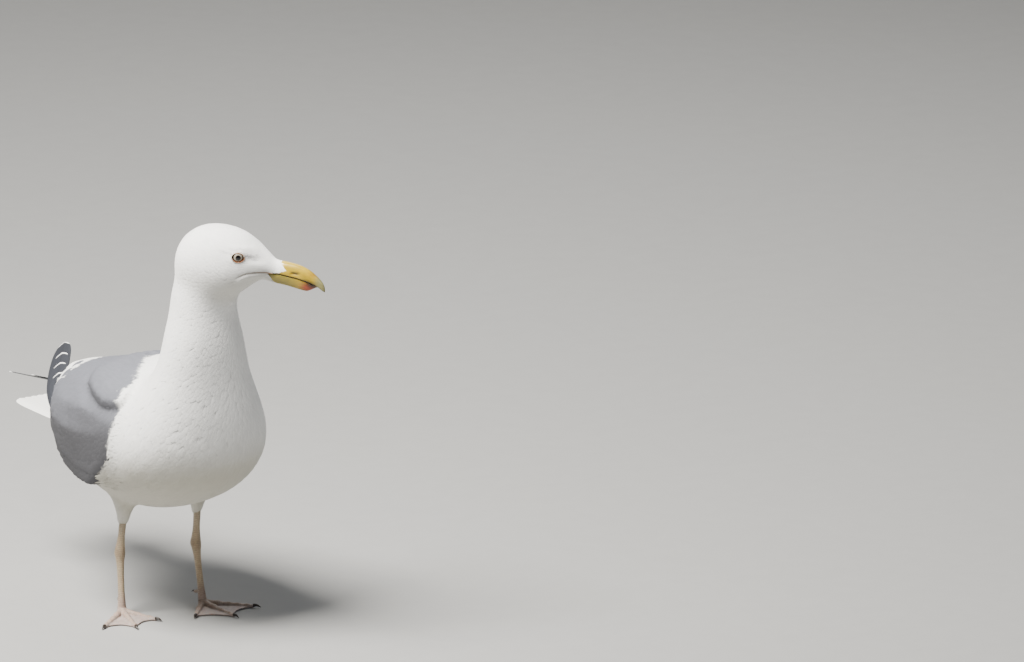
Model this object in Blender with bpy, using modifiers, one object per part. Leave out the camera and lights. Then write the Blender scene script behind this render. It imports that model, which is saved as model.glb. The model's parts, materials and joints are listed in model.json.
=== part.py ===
"""A herring gull, standing on both webbed feet with its neck raised and its head turned to its left.

The model is life size, in metres, with +Z up. The bird faces -Y and its left side is +X.
Every piece is placed in the bird's own coordinates, which start just above the floor under the hips,
and the last step slides the whole bird until the origin lies on the floor under the middle of its box.
"""

import math

import bmesh
import bpy
import numpy as np
from mathutils import Matrix, Vector
from mathutils.bvhtree import BVHTree

# ---------------------------------------------------------------- driving dimensions

GAP = 0.0003  # air between two pieces that meet
RING_POINTS = 30  # points round a section of the flesh
BODY_STEPS = 44  # sections along the trunk and the neck
HEAD_STEPS = 26
VOXEL = 0.0021  # grain at which the head, the neck and the trunk are melted together
FLESH_TRIANGLES = 2500

FLOOR = -0.0055  # height of the soles in the bird's own coordinates
SOLE_JOINT_HEIGHT = 0.0075  # sole to the joint where the toes meet the shank
SHANK_LIFT = 0.0020  # the shank's solid ends this far above that joint
KNUCKLE_RADIUS = 0.0052
KNUCKLE_AHEAD = 0.0010
KNUCKLE_HEIGHT = 0.0045

HEAD_CENTRE = Vector((0.0090, -0.0930, 0.3775))
HEAD_YAW = math.radians(45)  # turned to the bird's left
HEAD_PITCH = math.radians(-10)  # the bill points a little down

BILL_BASE = 0.0580  # distances along the head's own axis, from the head's centre
GAPE = 0.0480
MOUTH_LINE = 0.0082  # height of the closed mouth above the head's centre

EYE_AHEAD = 0.0240
EYE_UP = 0.0212
EYE_RADIUS = 0.0072
EYE_BULGE = 0.0012  # how far the eyeball stands out of the face
EYE_LOOKS_AHEAD = math.radians(20)
LID_RADIUS = 0.0054
LID_THICKNESS = 0.0007

LEG_SIDES = {"right": -1, "left": 1}
HIP = {"right": Vector((-0.0350, 0.0210, 0.1280)), "left": Vector((0.0430, 0.0130, 0.1280))}
ANKLE = {"right": Vector((-0.0380, 0.0300, 0.0585)), "left": Vector((0.0440, 0.0220, 0.0585))}
FOOT = {"right": Vector((-0.0380, 0.0265, FLOOR)), "left": Vector((0.0460, 0.0125, FLOOR))}
FOOT_YAW = {"right": math.radians(-13), "left": math.radians(9)}  # from straight ahead to its left
TOE_SPREAD = {"right": 0.92, "left": 1.12}
BARE_TIBIA_TOP = 0.0880  # where the feathers of the thigh end

# Sections from the root of the tail to the top of the neck. Each runs from the back to the belly, as
# (aft, up) points in the bird's middle plane, and has a half width across the bird.
BODY_SECTIONS = (
    # back aft, up, belly aft, up, half width
    (0.1780, 0.1720, 0.1740, 0.1520, 0.0240),  # root of the tail
    (0.1500, 0.1800, 0.1400, 0.1360, 0.0380),  # under the tail
    (0.1120, 0.1930, 0.0960, 0.1210, 0.0540),  # rump
    (0.0740, 0.2140, 0.0520, 0.1110, 0.0710),  # loin
    (0.0360, 0.2340, 0.0060, 0.1090, 0.0790),  # hips
    (0.0000, 0.2470, -0.0380, 0.1180, 0.0835),  # belly
    (-0.0260, 0.2580, -0.0790, 0.1400, 0.0820),  # shoulders
    (-0.0420, 0.2710, -0.1040, 0.1740, 0.0680),  # breast
    (-0.0490, 0.2850, -0.1090, 0.2140, 0.0560),  # upper breast
    (-0.0510, 0.2990, -0.1080, 0.2560, 0.0460),  # root of the neck
    (-0.0500, 0.3170, -0.1070, 0.2930, 0.0390),  # low neck
    (-0.0490, 0.3370, -0.1060, 0.3240, 0.0340),  # middle of the neck
    (-0.0490, 0.3600, -0.1060, 0.3520, 0.0320),  # top of the neck
)

# Sections of the head from the nape to the bill, as distance along its axis, top, bottom and half width.
HEAD_SECTIONS = (
    (-0.0440, 0.0080, -0.0080, 0.0080),  # nape
    (-0.0380, 0.0240, -0.0230, 0.0210),
    (-0.0230, 0.0370, -0.0330, 0.0300),
    (-0.0060, 0.0420, -0.0350, 0.0330),  # crown
    (0.0100, 0.0422, -0.0320, 0.0320),
    (0.0240, 0.0390, -0.0235, 0.0280),  # eyes
    (0.0360, 0.0325, -0.0110, 0.0220),
    (0.0470, 0.0262, -0.0010, 0.0150),  # lores and chin
    (0.0560, 0.0208, 0.0010, 0.0100),
    (0.0640, 0.0185, 0.0015, 0.0075),  # inside the bill
)

# Sections of the closed bill, as distance along the head's axis, ridge, lower edge and half width.
BILL_SECTIONS = (
    (0.0460, 0.0236, -0.0020, 0.0115),  # gape
    (0.0580, 0.0208, -0.0026, 0.0083),  # base of the ridge
    (0.0700, 0.0211, -0.0024, 0.0070),
    (0.0810, 0.0207, -0.0030, 0.0060),
    (0.0905, 0.0184, -0.0034, 0.0051),  # angle of the lower edge
    (0.0990, 0.0142, -0.0018, 0.0041),
    (0.1055, 0.0098, -0.0004, 0.0030),
    (0.1090, 0.0056, -0.0010, 0.0018),  # hook
    (0.1105, 0.0020, -0.0004, 0.0008),
)

# Sections of a folded wing, front to back. The outer face runs down from the edge on the back over the
# shoulder and the side to the edge at the flank, each given as (across, up).
WING_SECTIONS = (
    # aft, back edge, shoulder, side, flank edge
    (-0.0400, 0.0560, 0.2460, 0.0730, 0.2320, 0.0850, 0.2080, 0.0860, 0.1860),  # bend of the wing
    (-0.0180, 0.0380, 0.2560, 0.0690, 0.2430, 0.0875, 0.2070, 0.0860, 0.1580),
    (0.0050, 0.0160, 0.2590, 0.0630, 0.2470, 0.0890, 0.2030, 0.0840, 0.1400),
    (0.0400, 0.0040, 0.2560, 0.0540, 0.2450, 0.0885, 0.1990, 0.0800, 0.1370),  # lowest
    (0.0750, 0.0020, 0.2470, 0.0460, 0.2380, 0.0840, 0.1970, 0.0770, 0.1440),
    (0.1050, 0.0015, 0.2390, 0.0370, 0.2310, 0.0740, 0.1970, 0.0700, 0.1590),
    (0.1300, 0.0015, 0.2320, 0.0300, 0.2250, 0.0600, 0.1990, 0.0580, 0.1740),
    (0.1520, 0.0015, 0.2260, 0.0220, 0.2200, 0.0440, 0.2020, 0.0430, 0.1880),
    (0.1680, 0.0015, 0.2210, 0.0150, 0.2170, 0.0290, 0.2070, 0.0290, 0.2010),
    (0.1790, 0.0015, 0.2160, 0.0060, 0.2150, 0.0110, 0.2130, 0.0120, 0.2110),  # tips of the tertials
)
WING_THICKNESS = (0.016, 0.004)  # at the bend and at the tips, before the flank is taken from it
WING_STEPS = 13
WING_POINTS = 8  # points along a section's outer curve

# The folded primaries of each wing: root, middle and tip of the lowest one's outer edge. The right
# wing's tip crosses over the left one's.
PRIMARIES = {
    "right": ((-0.0590, 0.1120, 0.1640), (-0.0360, 0.1820, 0.1860), (0.0290, 0.2700, 0.2080)),
    "left": ((0.0590, 0.1120, 0.1600), (0.0360, 0.1820, 0.1740), (-0.0180, 0.2860, 0.1800)),
}
PRIMARY_TIPS = (0.0, 0.027, 0.053, 0.079)  # how far each tip stops short of the longest one
PRIMARY_TILT = np.radians((55, 25, 20))  # across a feather, at its root, its middle and its tip
PRIMARY_STEP = (0.0016, 0.0011)  # each feather lies further in and higher than the one under it
PRIMARY_WIDTH = 0.0230
PRIMARY_THICKNESS = 0.0008
PRIMARY_ROOT_THICKNESS = 0.0028  # joins the feathers of a wing
PRIMARY_STATIONS = 6

TAIL_ROOT = Vector((0.0, 0.1450, 0.1640))
TAIL_TIP = Vector((0.0020, 0.2460, 0.1660))
TAIL_ROOT_HALF_WIDTH = 0.0240
TAIL_TIP_HALF_WIDTH = 0.0480
TAIL_THICKNESS = 0.0030
TAIL_STEPS = 7
TAIL_FEATHERS = 6  # on each side of the middle
TAIL_CAMBER = 0.0050  # how much lower the tail's edges lie than its middle

TOES = {  # angle from the middle toe towards the bird's outer side, and length
    "inner": (math.radians(-42), 0.0430),
    "middle": (0.0, 0.0530),
    "outer": (math.radians(38), 0.0530),
}
TOE_RADIUS = (0.0036, 0.0022)  # at the root and at the tip
WEB_THICKNESS = 0.0012
WEB_LIFT = 0.0004  # the web hangs between toes that carry the weight
WEB_HOLLOW = 0.78  # how far out the web's edge lies between two toe tips
CLAW_LENGTH = 0.0075
CLAW_RADIUS = 0.0018
HIND_TOE_HEIGHT = 0.0135
HIND_TOE_LENGTH = 0.0080
HIND_TOE_RADIUS = 0.0021

COLOURS = {  # red, green, blue and roughness
    "white_plumage": (0.86, 0.86, 0.84, 0.75),
    "grey_plumage": (0.42, 0.44, 0.47, 0.70),
    "black_plumage": (0.03, 0.03, 0.035, 0.60),
    "bill_horn": (0.80, 0.60, 0.14, 0.35),
    "eye": (0.72, 0.70, 0.58, 0.08),
    "eyelid": (0.75, 0.36, 0.08, 0.50),
    "leg_skin": (0.72, 0.58, 0.52, 0.55),
    "claw_horn": (0.04, 0.035, 0.03, 0.35),
}


# ---------------------------------------------------------------- scene and materials


def clear_scene():
    for obj in list(bpy.data.objects):
        bpy.data.objects.remove(obj, do_unlink=True)


def new_collection(name, shown=True):
    made = bpy.data.collections.new(name)
    made.hide_render = not shown
    bpy.context.scene.collection.children.link(made)
    return made


def new_material(name):
    red, green, blue, roughness = COLOURS[name]
    material = bpy.data.materials.new(name)
    material.use_nodes = True
    shader = material.node_tree.nodes["Principled BSDF"]
    shader.inputs["Base Color"].default_value = (red, green, blue, 1)
    shader.inputs["Roughness"].default_value = roughness
    shader.inputs["Metallic"].default_value = 0
    material.diffuse_color = (red, green, blue, 1)
    return material


class Workshop:
    """The collections and materials that the pieces go into."""

    def __init__(self):
        self.parts = new_collection("herring_gull")
        self.helpers = new_collection("cutters", shown=False)
        self.materials = {name: new_material(name) for name in COLOURS}

    def part(self, name, bm, finish):
        """A piece of the bird from a bmesh, which it frees."""
        return self._object(name, bm, finish, self.parts)

    def helper(self, name, bm):
        """A cutter or a guide, which isn't part of the bird."""
        obj = self._object(name, bm, None, self.helpers)
        obj.hide_render = True
        obj.display_type = "WIRE"
        return obj

    def _object(self, name, bm, finish, collection):
        bmesh.ops.recalc_face_normals(bm, faces=bm.faces)
        mesh = bpy.data.meshes.new(name)
        bm.to_mesh(mesh)
        bm.free()
        mesh.shade_smooth()
        obj = bpy.data.objects.new(name, mesh)
        if finish:
            mesh.materials.append(self.materials[finish])
        collection.objects.link(obj)
        return obj


# ---------------------------------------------------------------- curves and lofts


def through(rows, count):
    """count rows along a smooth curve through the given ones, evenly by row number."""
    known = np.array(rows, float)
    places = np.linspace(0, len(known) - 1, count)
    made = []
    for place in places:
        i = min(int(place), len(known) - 2)
        t = place - i
        before, a, b, after = (known[max(0, min(k, len(known) - 1))] for k in (i - 1, i, i + 1, i + 2))
        slope_a = (b - before) / 2
        slope_b = (after - a) / 2
        made.append(
            (2 * t**3 - 3 * t**2 + 1) * a
            + (t**3 - 2 * t**2 + t) * slope_a
            + (3 * t**2 - 2 * t**3) * b
            + (t**3 - t**2) * slope_b
        )
    return made


def rounded(angle, fullness):
    """(cosine, sine) of a superellipse, which is an ellipse at fullness 2 and squarer above it."""
    share = 2 / fullness
    return tuple(math.copysign(abs(f(angle)) ** share, f(angle)) for f in (math.cos, math.sin))


def closed_ring(bm, points):
    """A closed loop of edges through the points, made from a circle."""
    verts = bmesh.ops.create_circle(bm, segments=len(points), radius=1)["verts"]
    for vert, point in zip(verts, points):
        vert.co = point
    return list({edge for vert in verts for edge in vert.link_edges})


def loft(sections):
    """A closed bmesh over unlike rings that all have the same number of points, with flat ends."""
    bm = bmesh.new()
    rings = [[bm.verts.new(point) for point in points] for points in sections]
    count = len(rings[0])
    for one, other in zip(rings, rings[1:]):
        for k in range(count):
            after = (k + 1) % count
            bm.faces.new((one[k], one[after], other[after], other[k]))
    bmesh.ops.holes_fill(bm, edges=[edge for edge in bm.edges if edge.is_boundary])
    bmesh.ops.recalc_face_normals(bm, faces=bm.faces)
    bmesh.ops.triangulate(bm, faces=bm.faces, quad_method="SHORT_EDGE")  # alike on both faces of a blade
    return bm


def evaluated(obj):
    """A new mesh with the object's modifiers applied."""
    bpy.context.view_layer.update()
    graph = bpy.context.evaluated_depsgraph_get()
    return bpy.data.meshes.new_from_object(obj.evaluated_get(graph), depsgraph=graph)


def as_bmesh(mesh):
    bm = bmesh.new()
    bm.from_mesh(mesh)
    bmesh.ops.triangulate(bm, faces=bm.faces)
    return bm


def sliced(bm, point, normal):
    """Removes what lies beyond a plane, on the side its normal points to, and closes the cut."""
    every = bm.verts[:] + bm.edges[:] + bm.faces[:]
    bmesh.ops.bisect_plane(bm, geom=every, dist=1e-7, plane_co=point, plane_no=normal, clear_outer=True)
    bmesh.ops.holes_fill(bm, edges=[edge for edge in bm.edges if edge.is_boundary])
    return bm


def cut_with(obj, *cutters, operation="DIFFERENCE"):
    """Applies Booleans with the cutters to the object's mesh."""
    for cutter in cutters:
        modifier = obj.modifiers.new(cutter.name, "BOOLEAN")
        modifier.operation = operation
        modifier.solver = "EXACT"
        modifier.object = cutter
        mesh = evaluated(obj)
        obj.modifiers.clear()
        obj.data = mesh


# ---------------------------------------------------------------- head, neck and trunk


def head_matrix():
    """From the head's axes (ahead, to its left, up) to the bird's coordinates."""
    ahead = Vector((math.sin(HEAD_YAW), -math.cos(HEAD_YAW), 0))
    left = Vector((0, 0, 1)).cross(ahead)
    turn = Matrix.Rotation(-HEAD_PITCH, 3, left)
    axes = Matrix([turn @ ahead, turn @ left, turn @ Vector((0, 0, 1))]).transposed()
    return Matrix.Translation(HEAD_CENTRE) @ axes.to_4x4()


def head_point(ahead, left, up):
    return head_matrix() @ Vector((ahead, left, up))


def body_rings():
    rings = []
    for back_y, back_z, belly_y, belly_z, half_width in through(BODY_SECTIONS, BODY_STEPS):
        back, belly = Vector((0, back_y, back_z)), Vector((0, belly_y, belly_z))
        middle, reach = (back + belly) / 2, (back - belly) / 2
        ring = []
        for k in range(RING_POINTS):
            along, across = rounded(2 * math.pi * k / RING_POINTS, 2.15)
            ring.append(middle + reach * along + Vector((half_width * across, 0, 0)))
        rings.append(ring)
    return rings


def oval_rings(sections, count, fullness, points=RING_POINTS):
    """Rings square to the head's axis, from rows of distance along it, top, bottom and half width."""
    rings = []
    for ahead, top, bottom, half_width in through(sections, count):
        ring = []
        for k in range(points):
            up, across = rounded(2 * math.pi * k / points, fullness)
            height = (top + bottom) / 2 + (top - bottom) / 2 * up
            ring.append(head_point(ahead, half_width * across, height))
        rings.append(ring)
    return rings


def flesh_form(workshop):
    """The head, neck and trunk as one smooth mesh."""
    bm = loft(body_rings())
    head = loft(oval_rings(HEAD_SECTIONS, HEAD_STEPS, 2.1))
    mesh = bpy.data.meshes.new("head_form")
    head.to_mesh(mesh)
    head.free()
    bm.from_mesh(mesh)
    form = workshop.helper("flesh_form", bm)
    melt = form.modifiers.new("melt", "REMESH")
    melt.mode = "VOXEL"
    melt.voxel_size = VOXEL
    ease = form.modifiers.new("ease", "SMOOTH")
    ease.factor = 0.5
    ease.iterations = 22
    thin = form.modifiers.new("thin", "DECIMATE")
    dense = len(evaluated(form).polygons) * 2
    thin.ratio = FLESH_TRIANGLES / dense
    mesh = evaluated(form)
    form.modifiers.clear()
    form.data = mesh
    return form


def build_flesh(workshop, form):
    """Parts the flesh with thin cuts into head, neck and trunk."""
    head_root = head_point(-0.006, 0, -0.030)
    head_cut = (Vector((0.30, -0.30, 0.90))).normalized()
    neck_root = Vector((0, -0.088, 0.284))
    neck_cut = Vector((0, -0.42, 0.91)).normalized()
    head = sliced(as_bmesh(form.data), head_root + head_cut * GAP / 2, -head_cut)
    neck = sliced(as_bmesh(form.data), head_root - head_cut * GAP / 2, head_cut)
    neck = sliced(neck, neck_root + neck_cut * GAP / 2, -neck_cut)
    trunk = sliced(as_bmesh(form.data), neck_root - neck_cut * GAP / 2, neck_cut)
    return {
        "head": workshop.part("head", head, "white_plumage"),
        "neck": workshop.part("neck", neck, "white_plumage"),
        "trunk": workshop.part("trunk", trunk, "white_plumage"),
    }


# ---------------------------------------------------------------- bill and eyes


def block(workshop, name, low, high, matrix):
    """A box cutter between two corners in the axes of matrix."""
    bm = bmesh.new()
    bmesh.ops.create_cube(bm, size=1)
    low, high = Vector(low), Vector(high)
    size = Matrix.Diagonal((*(high - low), 1))
    bmesh.ops.transform(bm, matrix=matrix @ Matrix.Translation((low + high) / 2) @ size, verts=bm.verts)
    return workshop.helper(name, bm)


def build_bill(workshop, head):
    """The upper and the lower half of the bill, and the face cut back to meet them."""
    far = 0.08
    axes = head_matrix()
    up = axes.to_3x3() @ Vector((0, 0, 1))
    ahead = axes.to_3x3() @ Vector((1, 0, 0))
    rings = oval_rings(BILL_SECTIONS, 13, 2.0, 16)
    upper = sliced(loft(rings), head_point(0, 0, MOUTH_LINE + GAP / 2), -up)
    upper = sliced(upper, head_point(BILL_BASE + GAP, 0, 0), -ahead)
    workshop.part("bill_upper", upper, "bill_horn")
    lower = sliced(loft(rings), head_point(0, 0, MOUTH_LINE - GAP / 2), up)
    lower = sliced(lower, head_point(GAPE + GAP, 0, 0), -ahead)
    workshop.part("bill_lower", lower, "bill_horn")
    cut_with(
        head,
        block(workshop, "face_end", (BILL_BASE, -far, -far), (far * 2, far, far), axes),
        block(workshop, "chin_end", (GAPE, -far, -far), (far * 2, far, MOUTH_LINE + GAP / 2), axes),
    )


def eye_matrix(side, head_surface):
    """Axes of an eye, with its third axis along its line of sight, and its centre under the face."""
    turn = LEG_SIDES[side] * (math.pi / 2 - EYE_LOOKS_AHEAD)
    to_bird = head_matrix().to_3x3()
    sight = Vector((math.cos(turn), math.sin(turn), 0.10)).normalized()
    across = Vector((0, 0, 1)).cross(sight).normalized()
    axes = Matrix([across, sight.cross(across), sight]).transposed().to_4x4()
    outside = to_bird @ Vector((0, LEG_SIDES[side], 0))
    face = head_surface.ray_cast(head_point(EYE_AHEAD, LEG_SIDES[side] * 0.1, EYE_UP), -outside)[0]
    place = head_matrix().inverted() @ face + sight * (EYE_BULGE - EYE_RADIUS)
    return head_matrix() @ Matrix.Translation(place) @ axes


def build_eyes(workshop, head):
    """An eyeball and the bare ring of its lids on each side, let into the head."""
    look = as_bmesh(head.data)
    head_surface = BVHTree.FromBMesh(look)
    look.free()
    lid_reach = EYE_RADIUS + GAP + LID_THICKNESS
    lid_ahead = math.sqrt(lid_reach**2 - LID_RADIUS**2)
    for side in LEG_SIDES:
        axes = eye_matrix(side, head_surface)
        ball = bmesh.new()
        bmesh.ops.create_uvsphere(ball, u_segments=14, v_segments=9, radius=EYE_RADIUS, matrix=axes)
        workshop.part(f"eye_{side}", ball, "eye")
        profile = [
            Vector((LID_RADIUS + LID_THICKNESS * math.cos(a), 0, lid_ahead + LID_THICKNESS * math.sin(a)))
            for a in (2 * math.pi * k / 5 for k in range(5))
        ]
        lid = bmesh.new()
        edges = closed_ring(lid, profile)
        bmesh.ops.spin(
            lid, geom=edges, cent=(0, 0, 0), axis=(0, 0, 1), angle=2 * math.pi, steps=14, use_merge=True
        )
        bmesh.ops.transform(lid, matrix=axes, verts=lid.verts)
        workshop.part(f"eyelid_{side}", lid, "eyelid")
        socket = bmesh.new()
        bmesh.ops.create_uvsphere(
            socket, u_segments=14, v_segments=9, radius=EYE_RADIUS + GAP * 1.5, matrix=axes
        )
        rim = bmesh.new()
        depth = 0.02
        place = axes @ Matrix.Translation((0, 0, lid_ahead - LID_THICKNESS - GAP + depth / 2))
        radius = LID_RADIUS + LID_THICKNESS + GAP
        bmesh.ops.create_cone(
            rim, segments=14, cap_ends=True, radius1=radius, radius2=radius, depth=depth, matrix=place
        )
        cut_with(
            head,
            workshop.helper(f"socket_{side}", socket),
            workshop.helper(f"rim_{side}", rim),
        )


# ---------------------------------------------------------------- wings and tail


def wing_rings(side, swell=0.0):
    """Curved slabs across the folded wing, each an outer curve and the same curve further in.

    With swell the slabs are that much larger all round, to cut a clearance with.
    """
    rings = []
    sections = through(WING_SECTIONS, WING_STEPS)
    for k, (aft, *curve) in enumerate(sections):
        share = k / (WING_STEPS - 1)
        thickness = WING_THICKNESS[0] + (WING_THICKNESS[1] - WING_THICKNESS[0]) * share
        outer = np.array(through(np.reshape(curve, (4, 2)), WING_POINTS))
        along = np.gradient(outer, axis=0)
        along /= np.linalg.norm(along, axis=1)[:, None]
        outer[0] -= along[0] * swell
        outer[-1] += along[-1] * swell
        inward = np.stack([along[:, 1], -along[:, 0]], axis=1)
        inner = outer + inward * (thickness + swell)
        outer = outer - inward * swell
        aft += swell * (k == WING_STEPS - 1) - swell * (k == 0)
        rings.append([Vector((side * across, aft, up)) for across, up in [*outer, *inner[::-1]]])
    return rings


def swollen_copy(workshop, name, obj, by):
    """A helper a little larger than the object all round, to cut a clearance with."""
    bm = bmesh.new()
    bm.from_mesh(obj.data)
    helper = workshop.helper(name, bm)
    swell = helper.modifiers.new("swell", "DISPLACE")
    swell.strength = by
    swell.mid_level = 0
    mesh = evaluated(helper)
    helper.modifiers.clear()
    helper.data = mesh
    return helper


def build_wings(workshop, form):
    """The folded wings, each a thick curved slab over the flank, with its black primaries below."""
    flank = swollen_copy(workshop, "flank_clearance", form, GAP)
    for name, side in LEG_SIDES.items():
        wing = workshop.part(f"wing_{name}", loft(wing_rings(side)), "grey_plumage")
        cut_with(wing, flank)
        primaries = build_primaries(workshop, name, side)
        above = workshop.helper(f"wing_clearance_{name}", loft(wing_rings(side, GAP)))
        cut_with(primaries, flank, above)


def feather_blade(edge, side, k, short):
    """Primary number k of the stack: a flat blade that reaches inward and up from its outer edge."""
    fine = np.array(through(edge, 60))
    lengths = np.insert(np.linalg.norm(np.diff(fine, axis=0), axis=1).cumsum(), 0, 0)
    stops = np.linspace(0, lengths[-1] - short, PRIMARY_STATIONS)
    path = np.stack([np.interp(stops, lengths, fine[:, axis]) for axis in range(3)], axis=1)
    ahead = np.gradient(path, axis=0)
    rings = []
    for start, way, stop in zip(path, ahead, stops):
        tilt = np.interp(stop, (0, lengths[-1] * 0.4, lengths[-1]), PRIMARY_TILT)
        across = Vector(way).cross(Vector((0, 0, -side))).normalized()
        inward = across * math.cos(tilt) + Vector((0, 0, math.sin(tilt)))
        over = Vector(way).cross(inward).normalized()
        over *= math.copysign(1, over.z)
        thick = PRIMARY_THICKNESS if stop > 0 else PRIMARY_ROOT_THICKNESS
        width = PRIMARY_WIDTH * (1 - 0.05 * k) * math.sqrt(max(0.03, 1 - (stop / stops[-1]) ** 6))
        low = Vector(start) + inward * PRIMARY_STEP[0] * k + over * PRIMARY_STEP[1] * k
        high = low + inward * width
        half = over * thick / 2
        rings.append([low - half, high - half, high + half, low + half])
    return loft(rings)


def build_primaries(workshop, name, side):
    """The black primaries of a folded wing, stacked so that their tips show one behind another."""
    blades = [
        feather_blade(PRIMARIES[name], side, k, short) for k, short in enumerate(PRIMARY_TIPS)
    ]
    bundle = workshop.part(f"primaries_{name}", blades[0], "black_plumage")
    for k, blade in enumerate(blades[1:], 1):
        cut_with(bundle, workshop.helper(f"primary_{name}_{k}", blade), operation="UNION")
    return bundle


def build_tail(workshop, form):
    """The closed fan of the tail, with a rounded end and edges that droop a little."""
    steps, half = TAIL_STEPS, TAIL_FEATHERS
    rings = []
    for k in range(steps):
        share = k / (steps - 1)
        middle = TAIL_ROOT.lerp(TAIL_TIP, share)
        width = TAIL_ROOT_HALF_WIDTH + (TAIL_TIP_HALF_WIDTH - TAIL_ROOT_HALF_WIDTH) * share**0.8
        thick = TAIL_THICKNESS * (1 - 0.6 * share)
        top = []
        for j in range(half + 1):
            across = 2 * j / half - 1
            back = -0.010 * share * across**2
            droop = -TAIL_CAMBER * across**2 * (0.4 + 0.6 * share)
            top.append(middle + Vector((across * width, back, droop)))
        under = [point - Vector((0, 0, thick)) for point in reversed(top)]
        rings.append(top + under)
    tail = workshop.part("tail", loft(rings), "white_plumage")
    cut_with(tail, swollen_copy(workshop, "rump_clearance", form, GAP))


# ---------------------------------------------------------------- legs and feet


def tube(stations, points=10):
    """A closed loft of ellipses along rows of centre x, y, z, half width and half depth."""
    rings = []
    for x, y, z, wide, deep in stations:
        ring = []
        for k in range(points):
            angle = 2 * math.pi * k / points
            ring.append(Vector((x + wide * math.cos(angle), y + deep * math.sin(angle), z)))
        rings.append(ring)
    return loft(rings)


def build_leg(workshop, side, form):
    """Feathered thigh, bare tibia and shank of one leg, on one line from hip to foot."""
    hip, ankle = HIP[side], ANKLE[side]
    foot = FOOT[side] + Vector((0, 0, SOLE_JOINT_HEIGHT))
    bare = ankle.lerp(hip, (BARE_TIBIA_TOP - ankle.z) / (hip.z - ankle.z))
    thigh = tube(
        [
            (*hip, 0.0190, 0.0230),
            (*bare.lerp(hip, 0.65), 0.0130, 0.0155),
            (*bare.lerp(hip, 0.35), 0.0078, 0.0090),
            (*bare, 0.0046, 0.0053),
        ],
        14,
    )
    thigh = workshop.part(f"thigh_{side}", thigh, "white_plumage")
    cut_with(thigh, swollen_copy(workshop, f"belly_clearance_{side}", form, GAP))
    tibia_end = bare - Vector((0, 0, GAP))
    ankle_top = ankle + (bare - ankle).normalized() * 0.0085
    tibia = tube(
        [
            (*tibia_end, 0.0037, 0.0043),
            (*ankle_top.lerp(tibia_end, 0.5), 0.0034, 0.0041),
            (*(ankle_top + Vector((0, 0, GAP))), 0.0042, 0.0050),
        ]
    )
    workshop.part(f"tibia_{side}", tibia, "leg_skin")
    shank = tube(
        through(
            [
                (*ankle_top, 0.0043, 0.0052),
                (*ankle, 0.0052, 0.0066),
                (*ankle.lerp(foot, 0.14), 0.0042, 0.0052),
                (*ankle.lerp(foot, 0.5), 0.0031, 0.0042),
                (*ankle.lerp(foot, 0.82), 0.0033, 0.0042),
                (*(foot + Vector((0, 0, SHANK_LIFT))), 0.0046, 0.0046),
            ],
            10,
        )
    )
    workshop.part(f"shank_{side}", shank, "leg_skin")


def foot_matrix(side):
    """Axes of a foot, with its middle toe along its first axis and its outer side along the second."""
    yaw = FOOT_YAW[side]
    ahead = Vector((math.sin(yaw), -math.cos(yaw), 0))
    outer = Vector((0, 0, 1)).cross(ahead) * LEG_SIDES[side]
    axes = Matrix([ahead, outer, Vector((0, 0, 1))]).transposed().to_4x4()
    return Matrix.Translation(FOOT[side]) @ axes


def toe_solid(angle, length):
    """A tapering toe, flat where it meets the floor."""
    steps, points = 5, 7
    direction = Vector((math.cos(angle), math.sin(angle), 0))
    across = Vector((-math.sin(angle), math.cos(angle), 0))
    rings = []
    for k in range(steps):
        share = k / (steps - 1)
        radius = TOE_RADIUS[0] + (TOE_RADIUS[1] - TOE_RADIUS[0]) * share
        rise = radius * 0.72 + 0.0022 * (1 - share) ** 3
        middle = direction * length * share + Vector((0, 0, rise))
        rings.append(
            [
                middle
                + across * radius * math.cos(2 * math.pi * j / points)
                + Vector((0, 0, radius * math.sin(2 * math.pi * j / points)))
                for j in range(points)
            ]
        )
    return sliced(loft(rings), Vector((0, 0, 0)), Vector((0, 0, -1)))


def web_solid(toes):
    """The skin between the toes, with an edge that curves in from toe tip to toe tip."""
    order = [toes[name] for name in ("inner", "middle", "outer")]
    outline = [Vector((-0.002, -0.003, 0)), Vector((-0.002, 0.003, 0))]
    steps = 5
    for (angle_a, length_a), (angle_b, length_b) in ((order[2], order[1]), (order[1], order[0])):
        for k in range(steps):
            share = k / steps
            angle = angle_a + (angle_b - angle_a) * share
            reach = (length_a + (length_b - length_a) * share) * 0.97
            hollow = 1 - (1 - WEB_HOLLOW) * math.sin(math.pi * share)
            outline.append(Vector((math.cos(angle), math.sin(angle), 0)) * reach * hollow)
    angle, length = order[0]
    outline.append(Vector((math.cos(angle), math.sin(angle), 0)) * length * 0.97)
    low, high = (Vector((0, 0, height)) for height in (WEB_LIFT, WEB_LIFT + WEB_THICKNESS))
    return loft([[point + low for point in outline], [point + high for point in outline]])


def knuckle_solid():
    """The ball where the toes meet, flat under the shank and on the floor."""
    bm = bmesh.new()
    place = Matrix.Translation((KNUCKLE_AHEAD, 0, KNUCKLE_HEIGHT))
    bmesh.ops.create_uvsphere(bm, u_segments=10, v_segments=6, radius=KNUCKLE_RADIUS, matrix=place)
    sliced(bm, Vector((0, 0, 0)), Vector((0, 0, -1)))
    return sliced(bm, Vector((0, 0, SOLE_JOINT_HEIGHT + SHANK_LIFT - GAP)), Vector((0, 0, 1)))


def claw_solid(direction, tip_drop):
    """A curved horn cone along direction, from the end of a toe."""
    steps, points = 4, 6
    across = direction.cross(Vector((0, 0, 1))).normalized()
    rings = []
    for k in range(steps):
        share = k / (steps - 1)
        radius = CLAW_RADIUS * (1 - 0.88 * share)
        middle = direction * CLAW_LENGTH * share - Vector((0, 0, tip_drop * share**2))
        rings.append(
            [
                middle
                + across * radius * math.cos(2 * math.pi * j / points)
                + Vector((0, 0, radius * math.sin(2 * math.pi * j / points)))
                for j in range(points)
            ]
        )
    return loft(rings)


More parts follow.
